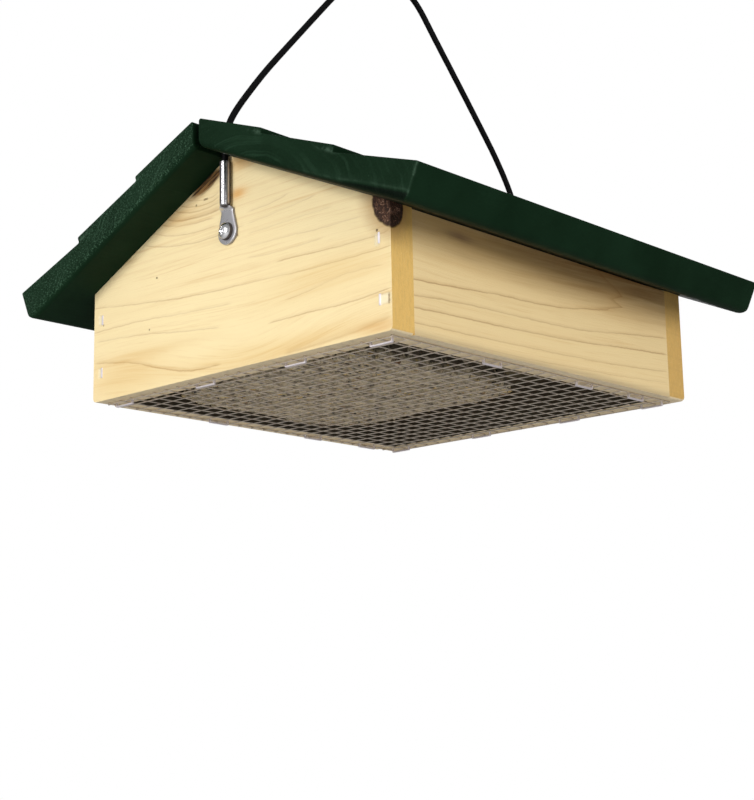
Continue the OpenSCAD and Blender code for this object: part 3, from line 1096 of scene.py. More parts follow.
def dress(node: bpy.types.Object, finish: bpy.types.Material, round_by: float, segments: int = 2) -> None:
    """Gives a CAD node its finish and eased edges.

    Args:
        node: the node's object.
        finish: its material.
        round_by: width of its eased edges, in metres.
        segments: how many faces ease an edge.
    """
    node.data.materials.clear()
    node.data.materials.append(finish)
    weld = node.modifiers.new("joined", "WELD")
    weld.merge_threshold = JOIN_WITHIN
    flat = node.modifiers.new("flat_faces", "DECIMATE")
    flat.decimate_type = "DISSOLVE"
    flat.angle_limit = FLAT_WITHIN
    ease = node.modifiers.new("eased", "BEVEL")
    ease.width = round_by
    ease.segments = segments
    ease.limit_method = "ANGLE"
    ease.angle_limit = EDGE_FROM
    ease.use_clamp_overlap = True
    even = node.modifiers.new("even_light", "WEIGHTED_NORMAL")
    even.keep_sharp = False
    even.weight = LARGE_FACE_WEIGHT
    LOG.info("%s: dressed", node.name)


@dataclass
class Studio:
    """Camera, floor and soft lamps."""

    eye: Point = (0.49970, -0.54615, -0.14824)
    turn: Point = (1.30559479, 0.50083931, -0.64335763)
    lens: float = 71.97
    floor_z: float = -0.46
    fill: float = 0.30
    bounce: float = 0.60
    backdrop: float = 0.62
    floor_sides: int = 96
    floor_radii: tuple[float, ...] = (0.3, 1.0, 2.5, 6.0)
    pale: tuple[Colour, Colour] = ((0.86, 0.86, 0.86), (0.84, 0.84, 0.84))
    horizon: tuple[float, float] = (0.5, 2.6)
    aim: Point = (0.0, 0.0, 0.04)
    lamps: tuple[tuple[str, Point, float, float], ...] = (
        ("key_lamp", (-0.15, -1.9, 0.35), 0.7, 22.5), ("side_lamp", (1.9, -0.55, 0.30), 1.1, 23.0),
        ("rear_lamp", (-1.2, 1.5, 0.8), 1.1, 12.0))

    def place_camera(self) -> None:
        """Sets the camera at the photograph's place."""
        turn = Vector(self.turn)
        rows = Quaternion(turn.normalized(), turn.length).to_matrix()
        data = bpy.data.cameras.new("camera")
        data.sensor_fit = "AUTO"
        data.sensor_width = 36.0
        data.lens = self.lens
        data.clip_start, data.clip_end = 0.01, 60.0
        data.dof.use_dof = False
        camera = bpy.data.objects.new("camera", data)
        bpy.context.scene.collection.objects.link(camera)
        columns = Matrix((rows[0], -rows[1], -rows[2])).transposed()
        camera.matrix_world = Matrix.Translation(Vector(self.eye)) @ columns.to_4x4()
        bpy.context.scene.camera = camera

    def lay_floor(self) -> None:
        """Lays a wide pale floor far below the hanging feeder: rings of points round a middle one.

        It grows whiter with distance, so that its rim doesn't stand out from the room behind it.
        """
        count, sides = len(self.floor_radii), self.floor_sides
        turn = circle(sides)
        ring = np.stack([np.cos(turn), np.sin(turn), np.zeros_like(turn)], -1)
        rings = ring[None] * np.array(self.floor_radii)[:, None, None] + np.array([0, 0, self.floor_z])
        points = np.concatenate([rings.reshape(-1, 3), [[0, 0, self.floor_z]]])
        faces = grid_faces(count, sides).tolist()
        near = np.arange(sides)
        faces += np.stack([np.full(sides, count * sides), near, (near + 1) % sides], -1).tolist()
        floor = new_object("floor", points, faces, smooth=False)
        r = Recipe("pale_floor")
        soft = r.noise(r.place, scale=3.0, detail=2.0)
        rays = r.add("ShaderNodeLightPath")
        seen = [Field(r, rays.outputs[f"Is {kind} Ray"]) for kind in ("Camera", "Transmission")]
        plain = r.mix(soft * 0.3, *self.pale)
        tone = r.mix(seen[0].largest(seen[1]), (self.bounce,) * 3, plain)
        x, y, _ = r.axes()
        far = (x * x + y * y).power(0.5).rise(*self.horizon)
        r.feed(r.shader.inputs["Emission Color"], (1.0, 1.0, 1.0))
        r.feed(r.shader.inputs["Emission Strength"], seen[0] * far * self.backdrop)
        floor.data.materials.append(r.finish(tone, 0.9, specular=0.1))

    def hang_lamp(self, name: str, place: Point, size: float, power: float) -> None:
        """Adds one soft square lamp aimed at the feeder.

        Args:
            name: its name.
            place: where it stands.
            size: edge of its square, in metres.
            power: watts.
        """
        data = bpy.data.lights.new(name, "AREA")
        data.shape = "SQUARE"
        data.size = size
        data.energy = power
        lamp = bpy.data.objects.new(name, data)
        bpy.context.scene.collection.objects.link(lamp)
        lamp.location = place
        aim = Vector(self.aim) - Vector(place)
        lamp.rotation_mode = "QUATERNION"
        lamp.rotation_quaternion = aim.to_track_quat("-Z", "Y")

    def light_room(self) -> None:
        """Lights the room: a dim even fill, and a white that the camera sees."""
        world = bpy.data.worlds.new("room")
        bpy.context.scene.world = world
        world.use_nodes = True
        nodes, links = world.node_tree.nodes, world.node_tree.links
        nodes.clear()
        rays = nodes.new("ShaderNodeLightPath")
        seen = nodes.new("ShaderNodeMath")
        seen.operation = "MAXIMUM"
        links.new(rays.outputs["Is Camera Ray"], seen.inputs[0])
        links.new(rays.outputs["Is Transmission Ray"], seen.inputs[1])
        level = nodes.new("ShaderNodeMapRange")
        level.inputs["To Min"].default_value = self.fill
        level.inputs["To Max"].default_value = 1.0
        links.new(seen.outputs[0], level.inputs["Value"])
        shade = nodes.new("ShaderNodeBackground")
        shade.inputs["Color"].default_value = (1, 1, 1, 1)
        links.new(level.outputs["Result"], shade.inputs["Strength"])
        output = nodes.new("ShaderNodeOutputWorld")
        links.new(shade.outputs[0], output.inputs["Surface"])
        for name, place, size, power in self.lamps:
            self.hang_lamp(name, place, size, power)

    def set_up(self) -> None:
        """Builds camera, floor and light."""
        self.place_camera()
        self.lay_floor()
        self.light_room()
        LOG.info("studio: camera, floor and %d lamps", len(self.lamps))


@dataclass
class Hanger:
    """Coated cable loop, with a tube lug and a screw at each gable."""

    cable_d: float = 3.0 * MM
    strands: int = 7
    strand_depth: float = 0.025
    strand_pitch: float = 17 * MM
    steps: int = 12
    sides: int = 28
    barrel_r: float = 2.35 * MM
    bore_r: float = 1.6 * MM
    bore_l: float = 10 * MM
    palm_half: float = 5.9 * MM
    neck_half: float = 3.8 * MM
    palm_t: float = 1.4 * MM
    palm_top: float = 72.0 * MM
    palm_l: float = 8.4 * MM
    lug_sides: int = 48
    head_sides: int = 96
    cross_turn: float = 28.0
    cross_depth: float = 1.35 * MM
    shade_and_dull_tone: Colour = (0.060, 0.050, 0.050)
    reflection_bands: tuple[tuple[float, float, float], ...] = (
        (-124, 12, 1.1), (-97, 14, 1.3), (-16, 8, 0.9), (26, 20, 1.4))
    head_r: float = 4.0 * MM
    head_h: float = 2.8 * MM
    rim_h: float = 1.0 * MM
    route: tuple[tuple[float, float], ...] = (
        (-105, 105), (-103, 113), (-99, 120.5), (-91.5, 131), (-81, 144.5), (-69.5, 158), (-57.5, 171.8),
        (-46, 185), (-35.5, 196.8), (-25.5, 207), (-15, 215.2), (-4, 219.8), (7, 219.9), (17, 216.5),
        (26, 210.5), (38, 197.3), (54, 179.6), (69, 162.8), (83, 146.6), (93, 132.8), (99, 121.5),
        (103, 113), (105, 105))

    def centreline(self) -> np.ndarray:
        """The cable's line in the plane X = 0: a smooth curve through the route's points.

        Between two points it is the cubic whose slopes are half the step between their neighbours.

        Returns:
            Places along the line, in metres.
        """
        end = (LAYOUT.barrel_y / MM, LAYOUT.barrel_top / MM)
        knots = np.array([(-end[0], end[1] - 3), (-end[0], end[1]), *self.route, end, (end[0], end[1] - 3)])
        padded = np.concatenate([knots[:1], knots, knots[-1:]])
        p0, p1, p2, p3 = (padded[i:len(padded) - 3 + i][:, None] for i in range(4))
        t = (np.arange(self.steps) / self.steps)[None, :, None]
        line = 0.5 * (2 * p1 + (p2 - p0) * t + (2 * p0 - 5 * p1 + 4 * p2 - p3) * t ** 2
                      + (3 * p1 - p0 - 3 * p2 + p3) * t ** 3)
        line = np.concatenate([line.reshape(-1, 2), knots[-1:]]) * MM
        return np.column_stack([np.zeros(len(line)), line])

    def make_cable(self) -> None:
        """Cable tube: a circle with shallow strand lobes that turn as it runs along its line."""
        line = self.centreline()
        forward = np.gradient(line, axis=0)
        forward /= np.linalg.norm(forward, axis=1, keepdims=True)
        side = np.array([1.0, 0.0, 0.0])
        up = np.cross(side, forward)
        run = np.concatenate([[0], np.cumsum(np.linalg.norm(np.diff(line, axis=0), axis=1))])
        turn = circle(self.sides)[None, :]
        lobe = np.abs(np.cos(self.strands / 2 * (turn - 2 * np.pi * run[:, None] / self.strand_pitch)))
        radius = self.cable_d / 2 * (1 - self.strand_depth * (1 - lobe))
        rings = (line[:, None] + side * (np.cos(turn) * radius)[..., None]
                 + up[:, None] * (np.sin(turn) * radius)[..., None])
        cable = skin("cable", rings)
        mark_points(cable, "strand", np.concatenate([(lobe ** 2).ravel(), [0, 0]]))
        settle(cable, CoatingFinish().make(), Body.BOX, Slot.COATING, "hanger_cable")
        LOG.info("cable: %.1f mm from barrel to barrel", run[-1] / MM)

    def lug_rings(self) -> np.ndarray:
        """Rings of a lug: down the bore, over the rim, down the barrel, then flattened into the palm.

        A ring is a rounded outline: cosine and sine of the turn, each to a power that squares it off.

        Returns:
            Rings by points by XYZ, for the front lug.
        """
        top, neck, flat = LAYOUT.barrel_top, LAYOUT.neck_z, self.palm_top
        foot = LAYOUT.screw_z - self.palm_half
        bore = np.array([[top - self.bore_l, self.bore_r], [top - 0.25 * MM, self.bore_r]])
        lip = np.linspace(0, np.pi, 9)[:, None]
        wall = (self.barrel_r - self.bore_r) / 2
        rim = np.concatenate([top - 0.25 * MM + np.sin(lip) * 0.25 * MM, self.bore_r + wall - np.cos(lip) * wall], 1)
        fall = np.linspace(0, 1, 26)[:, None]
        barrel = np.concatenate([top - 0.3 * MM + (neck + 0.3 * MM - top + 0.3 * MM) * fall,
                                 np.full_like(fall, self.barrel_r)], 1)
        tube = np.concatenate([bore, rim, barrel])
        turn = circle(self.lug_sides)[None, :]
        round_rings = np.stack([tube[:, 1:] * np.cos(turn), -LAYOUT.barrel_y + tube[:, 1:] * np.sin(turn),
                                np.broadcast_to(tube[:, :1], (len(tube), self.lug_sides))], -1)
        palm_heights = flat - (flat - foot) * np.sin(np.linspace(0, np.pi / 2, 26)[1:])
        height = np.concatenate([np.linspace(neck, flat, 14)[1:], palm_heights])[:, None]
        ease, widen = (np.clip((neck - height) / (share * (neck - flat)), 0, 1) for share in (0.7, 0.4))
        ease, widen = smooth_step(ease), smooth_step(widen)
        lean = math.asin((self.palm_half - self.neck_half) / self.palm_l)
        touch = LAYOUT.screw_z + self.palm_half * math.sin(lean)
        slant = self.neck_half + (flat - height) / (flat - touch) * (self.palm_half * math.cos(lean) - self.neck_half)
        bulb = np.sqrt(np.clip(self.palm_half ** 2 - (height - LAYOUT.screw_z) ** 2, (0.15 * MM) ** 2, None))
        half = np.where(height > touch, slant, bulb)
        half = np.where(height > flat, self.barrel_r + (self.neck_half - self.barrel_r) * widen, half)
        thick = self.barrel_r + (self.palm_t / 2 - self.barrel_r) * ease
        thin_end = np.clip((height - foot) / (0.5 * MM), 0.0, 1.0)
        thick = thick * np.where(height < flat, np.sqrt(1 - (1 - thin_end) ** 2) * 0.999 + 0.001, 1.0)
        face = LAYOUT.half_length
        middle = -(LAYOUT.barrel_y + (face + self.palm_t / 2 - LAYOUT.barrel_y) * ease)
        square = 1 - 0.62 * ease
        flat_rings = np.stack([half * squared_off(np.cos(turn), square),
                               middle + thick * squared_off(np.sin(turn), square),
                               np.broadcast_to(height, (len(height), self.lug_sides))], -1)
        rings = np.concatenate([round_rings, flat_rings])
        across, drop = rings[..., 0] - 0.9 * MM, rings[..., 2] - neck
        bowl = drop + 0.9 * MM - across ** 2 / (7 * MM)
        crease = np.exp(-(bowl / (0.5 * MM)) ** 2 - (across / (2.3 * MM)) ** 4) * (rings[..., 1] < -LAYOUT.barrel_y)
        rings[..., 1] += crease * 0.9 * MM
        return rings

    def lug_shade_and_dullness(self, rings: np.ndarray) -> np.ndarray:
        """Lug darkening: painted reflection bands on the barrel, painted shade at the crimp and palm edges, duller
        palm.

        Args:
            rings: the front lug's rings.

        Returns:
            A number from 0 to 1 for each point.
        """
        way = np.degrees(np.arctan2(rings[..., 1] + LAYOUT.barrel_y, rings[..., 0]))
        on_barrel = np.clip((rings[..., 2] - LAYOUT.neck_z) / (1 * MM), 0, 1)
        # Painted dark reflections: bands along the barrel at given angles round it.
        streaks = sum(depth * np.exp(-((way - at) / spread) ** 2) for at, spread, depth in self.reflection_bands)
        # Painted shade in the crease under the barrel's foot.
        across, drop = rings[..., 0] - 0.9 * MM, rings[..., 2] - LAYOUT.neck_z
        bowl = drop + 0.7 * MM - across ** 2 / (7 * MM)
        crimp = np.exp(-(bowl / (0.7 * MM)) ** 2 - (across / (2.7 * MM)) ** 4)
        crimp = crimp * (rings[..., 1] < -LAYOUT.barrel_y + 1 * MM)
        # Painted shade along the palm's edges, over a slightly duller palm.
        half = np.abs(rings[..., 0]).max(axis=1, keepdims=True)
        edge = np.clip((np.abs(rings[..., 0]) / half - 0.86) / 0.1, 0, 1) * 0.5
        return np.clip(on_barrel * streaks + (1 - on_barrel) * (0.12 + edge) + crimp, 0, 1.6)

    def screw_rings(self) -> np.ndarray:
        """Rings of a screw's head: a dome over polar rings, with a cross pressed into it.

        The cross is the product of two smooth steps along each arm, and its sides slope.

        Returns:
            Rings by points by XYZ, for the front screw.
        """
        seat = -(LAYOUT.half_length + self.palm_t)
        ball = (self.head_r ** 2 + self.head_h ** 2) / (2 * self.head_h)
        share = np.sin(np.linspace(0.02, np.pi / 2, 40))[:, None]
        radius = self.head_r * share
        turn = circle(self.head_sides)[None, :] + math.radians(self.cross_turn)
        dome = np.sqrt(ball ** 2 - radius ** 2) - (ball - self.head_h)
        edge = np.clip((radius - 0.94 * self.head_r) / (0.06 * self.head_r), 0, 1)
        dome = dome * 0.72 + self.rim_h * np.sqrt(np.clip(1 - edge ** 2, 0, 1))
        x, z = radius * np.cos(turn), radius * np.sin(turn)

        def arm(long: np.ndarray, wide: np.ndarray) -> np.ndarray:
            """Depth of one arm: full in its middle line, none past its end or its sides.

            Args:
                long: place along the arm.
                wide: place across it.

            Returns:
                The depth, from 0 to 1.
            """
            end = np.clip((1.9 * MM - np.abs(long)) / (0.7 * MM), 0, 1)
            flank = np.clip((0.62 * MM - np.abs(wide)) / (0.30 * MM), 0, 1)
            return smooth_step(end) * smooth_step(flank)

        cross = np.maximum(arm(x, z), arm(z, x))
        front = np.stack([x, seat - (dome - self.cross_depth * cross), z], -1)
        back = np.stack([x[::-1], np.full_like(x, seat), z[::-1]], -1)[[0, 12, 39]]
        rings = np.concatenate([front, back])
        rings[..., 2] += LAYOUT.screw_z
        return rings

    def make_end(self, end: End, lug_finish: bpy.types.Material, screw_finish: bpy.types.Material) -> None:
        """Makes the lug and the screw at one gable.

        Args:
            end: which gable.
            lug_finish: the lug's material.
            screw_finish: the screw's material.
        """
        word = end.name.lower()
        flip = np.array([1.0, -float(end.value), 1.0])
        rings = self.lug_rings()
        lug = skin(f"{word}_tube_lug", rings * flip)
        mark_points(lug, "dull", np.concatenate([self.lug_shade_and_dullness(rings).ravel(), [1.0, 0.5]]))
        settle(lug, lug_finish, Body.BOX, Slot.LUG, f"{word}_lug")
        rings = self.screw_rings()
        head = skin(f"{word}_pan_head", rings * flip)
        out = np.hypot(rings[..., 0], rings[..., 2] - LAYOUT.screw_z) / self.head_r
        # Painted shade round the rim of the screw's head.
        mark_points(head, "dull", np.concatenate([np.clip((out - 0.88) / 0.06, 0, 1).ravel(), [0, 1]]))
        settle(head, screw_finish, Body.BOX, Slot.SCREW, f"{word}_lug_screw")

    def build(self) -> None:
        """Builds cable, lugs and screws."""
        self.make_cable()
        lug_finish = MetalFinish("lug_metal", Metal.LUG, ("dull", self.shade_and_dull_tone)).make()
        screw_finish = MetalFinish("screw_steel", Metal.SCREW, ("dull", self.shade_and_dull_tone)).make()
        for end in End:
            self.make_end(end, lug_finish, screw_finish)


@dataclass
class MeshFloor:
    """Galvanised welded mesh, one layer of wires lying on the other."""

    pitch: float = 8.15 * MM
    wire_r: float = 0.31 * MM
    stub: float = 0.4 * MM
    cells_x: int = 22
    cells_y: int = 24
    low_z: float = 1.38 * MM
    high_z: float = 1.97 * MM
    sides: int = 8

    def wires(self, count: int, cells: int, across: Grain, height: float,
              seed: float) -> tuple[np.ndarray, np.ndarray]:
        """One layer of slightly wavy wires as tubes.

        A wire's line is straight plus a small smooth wander, and it swells a little where it is welded.

        Args:
            count: cells across the layer; it has one wire more.
            cells: cells along each wire.
            across: the axis the wires run along.
            height: height of their middle.
            seed: picks their wander.

        Returns:
            Points and faces of the layer.
        """
        reach = cells * self.pitch / 2 + self.stub
        run = np.linspace(-reach, reach, cells * 4 + 3)[None, :]
        place = ((np.arange(count + 1) - count / 2) * self.pitch)[:, None]
        spot = np.stack(np.broadcast_arrays(run, place * 7.3, np.full_like(run * place, seed)), -1)
        wander = noise_field(spot, 23 * MM, seed) * 0.22 * MM + noise_field(spot, 60 * MM, seed + 3) * 0.30 * MM
        cell = run / self.pitch + cells / 2
        weld = np.exp(-(((cell - np.round(cell)) * self.pitch) / (0.9 * MM)) ** 2)
        lift = noise_field(spot, 17 * MM, seed + 7) * 0.03 * MM
        turn = circle(self.sides)
        radius = (self.wire_r * (0.95 + 0.12 * weld))[..., None]
        sideways = (place + wander)[..., None] + radius * np.cos(turn)
        up = height + lift[..., None] + radius * np.sin(turn) * 0.96
        forward = np.broadcast_to(run[..., None], sideways.shape)
        order = (forward, sideways) if across is Grain.ALONG_X else (sideways, forward)
        points = np.stack([*order, up], -1)
        wires, rows = points.shape[:2]
        one = grid_faces(rows, self.sides)
        faces = (one[None] + (np.arange(wires) * rows * self.sides)[:, None, None]).reshape(-1, 4)
        return points.reshape(-1, 3), faces

    def build(self) -> None:
        """Builds both layers as one piece, with their ends closed."""
        high, high_faces = self.wires(self.cells_x, self.cells_y, Grain.ALONG_Y, self.high_z, 1.0)
        low, low_faces = self.wires(self.cells_y, self.cells_x, Grain.ALONG_X, self.low_z, 5.0)
        faces = high_faces.tolist() + (low_faces + len(high)).tolist()
        start = 0
        for wires, cells in ((self.cells_x + 1, self.cells_y), (self.cells_y + 1, self.cells_x)):
            rows = cells * 4 + 3
            first = start + np.arange(wires)[:, None] * rows * self.sides
            faces += (first + np.arange(self.sides)).tolist()
            faces += (first + (rows - 1) * self.sides + np.arange(self.sides)).tolist()
            start += wires * rows * self.sides
        mesh = new_object("welded_mesh", np.concatenate([high, low]), faces)
        settle(mesh, MetalFinish("galvanised_wire", Metal.ZINC_WIRE).make(), Body.BOX, Slot.WIRE, "mesh_floor")


@dataclass
class SuetCake:
    """Pressed cake with an uneven outline, and seed standing out of its skin."""

    middle: tuple[float, float] = (-4.5 * MM, -27.0 * MM)
    half: tuple[float, float] = (62.0 * MM, 57.5 * MM)
    height: float = 32 * MM
    draft: float = 5 * MM
    squareness: float = 0.34
    flat_share: float = 0.965
    edge_r: float = 2.5 * MM
    skin_relief: float = 0.9 * MM
    sides: int = 260
    under_rows: int = 46
    seeds: int = 2600
    seed_sides: int = 7
    seed_rows: tuple[float, ...] = (-0.9, 0.0, 0.9)

    def outline(self, turn: np.ndarray) -> np.ndarray:
        """Outline of the cake: a squared oval, pushed in and out by a slow wave.

        Args:
            turn: angles round it.

        Returns:
            X and Y from its middle, for each angle.
        """
        c, s = np.cos(turn), np.sin(turn)
        flat = np.stack([half * squared_off(wave, self.squareness) for half, wave in zip(self.half, (c, s))], -1)
        ragged = noise_field(np.stack([flat[..., 0], flat[..., 1], np.zeros_like(c)], -1), 22 * MM, 4.0) * 1.8 * MM
        flat = flat * (1 + (ragged / (60 * MM))[..., None])
        flat[..., 1] += np.where(s > 0, np.clip(-flat[..., 0], 0, None) * 0.10 + 1 * MM, 0)
        return flat

    def rings(self) -> np.ndarray:
        """Rings from the middle of the underside, out to the edge, up the side and in over the top.

        Returns:
            Rings by points by XYZ.
        """
        rim = self.outline(circle(self.sides))
        low = np.stack([np.linspace(0.03, self.flat_share, self.under_rows), np.zeros(self.under_rows)], -1)
        bend = np.linspace(0, np.pi / 2, 7)[1:]
        edge = np.stack([self.flat_share + (1 - self.flat_share) * np.sin(bend), self.edge_r * (1 - np.cos(bend))], -1)
        climb = np.linspace(0.1, 1, 14)
        rise = self.edge_r + climb * (self.height - 2 * self.edge_r)
        side = np.stack([1 - climb * self.draft / self.half[0], rise], -1)
        rise = self.height - self.edge_r + self.edge_r * np.sin(bend)
        top = np.stack([side[-1, 0] - 0.03 * (1 - np.cos(bend)), rise], -1)
        lid = np.stack([np.linspace(top[-1, 0] - 0.03, 0.03, 24), np.full(24, self.height)], -1)
        profile = np.concatenate([low, edge, side, top, lid])
        flat = rim[None] * profile[:, None, :1]
        rise = np.broadcast_to(profile[:, None, 1:], (*flat.shape[:2], 1))
        points = np.concatenate([flat + np.array(self.middle), rise + LAYOUT.wood_z], -1)
        lump = noise_field(points, 5.5 * MM, 1.0) * 0.55 + noise_field(points, 2.4 * MM, 2.0) * 0.45
        share = np.clip(profile[:, 1] / self.edge_r, 0, 1)[:, None]
        out = points - np.array([*self.middle, LAYOUT.wood_z + self.height / 2])
        out[..., 2] *= np.where(share > 0.9, 0.4, 0.0)
        out /= np.linalg.norm(out, axis=-1, keepdims=True) + 1e-9
        points += out * (lump * self.skin_relief * share)[..., None]
        points[..., 2] += (1 - share) * (0.35 * MM + lump * 0.35 * MM)
        over = (profile[:, 1] > self.height - 1 * MM)[:, None]
        points[..., 2] += np.where(over, lump * self.skin_relief, 0)
        return points

    def sow(self) -> tuple[np.ndarray, np.ndarray, np.ndarray]:
        """Scatters seeds on the cake's skin: each is a small stretched ball of its own size and turn.

        Returns:
            Points, faces and each point's tone.
        """
        rng = np.random.default_rng(12)
        rings = self.rings()
        weight = np.zeros(len(rings))
        weight[:self.under_rows] = np.linspace(0.03, 1.0, self.under_rows)
        weight[self.under_rows:] = 0.42
        row = rng.choice(len(rings), self.seeds, p=weight / weight.sum())
        spot = rings[row, rng.integers(0, rings.shape[1], self.seeds)]
        under = row < self.under_rows
        ball = np.array([[np.cos(a) * np.cos(e), np.sin(a) * np.cos(e), np.sin(e)]
                         for e in self.seed_rows for a in circle(self.seed_sides)] + [[0, 0, -1], [0, 0, 1]])
        size = rng.uniform(0.45, 1.25, (self.seeds, 1)) * np.stack(
            [rng.uniform(low, high, self.seeds) for low, high in ((0.8, 2.1), (0.7, 1.0), (0.5, 0.9))], -1) * MM
        turn = rng.uniform(0, 2 * np.pi, self.seeds)
        c, s = np.cos(turn), np.sin(turn)
        local = ball[None] * size[:, None]
        x = local[..., 0] * c[:, None] - local[..., 1] * s[:, None]
        y = local[..., 0] * s[:, None] + local[..., 1] * c[:, None]
        points = np.stack([x, y, local[..., 2]], -1) + spot[:, None]
        lift = np.where(under, size[:, 2] * 0.55, -0.1 * MM)
        points[..., 2] += lift[:, None]
        points[..., 2] = np.maximum(points[..., 2], LAYOUT.wood_z + 0.02 * MM)
        count, each = self.seed_sides, len(ball)
        near = np.arange(count)
        after = (near + 1) % count
        top = count * (len(self.seed_rows) - 1)
        caps = np.concatenate([np.stack([after, near, np.full(count, each - 2)], -1),
                               np.stack([near + top, after + top, np.full(count, each - 1)], -1)])
        start = (np.arange(self.seeds) * each)[:, None, None]
        quads = (grid_faces(len(self.seed_rows), count)[None] + start).reshape(-1, 4)
        triangles = (caps[None] + start).reshape(-1, 3)
        tone = np.repeat(rng.uniform(0, 1, self.seeds), each)
        return points.reshape(-1, 3), [*quads.tolist(), *triangles.tolist()], tone

    def build(self) -> None:
        """Builds the cake and its seed."""
        cake = skin("pressed_cake", self.rings())
        settle(cake, SuetFinish().make(), Body.BOX, Slot.SUET, "suet_cake")
        points, faces, tone = self.sow()
        seed = new_object("pressed_seed", points, faces)
        mark_points(seed, "tone", tone)
        settle(seed, SeedFinish().make(), Body.BOX, Slot.SUET)


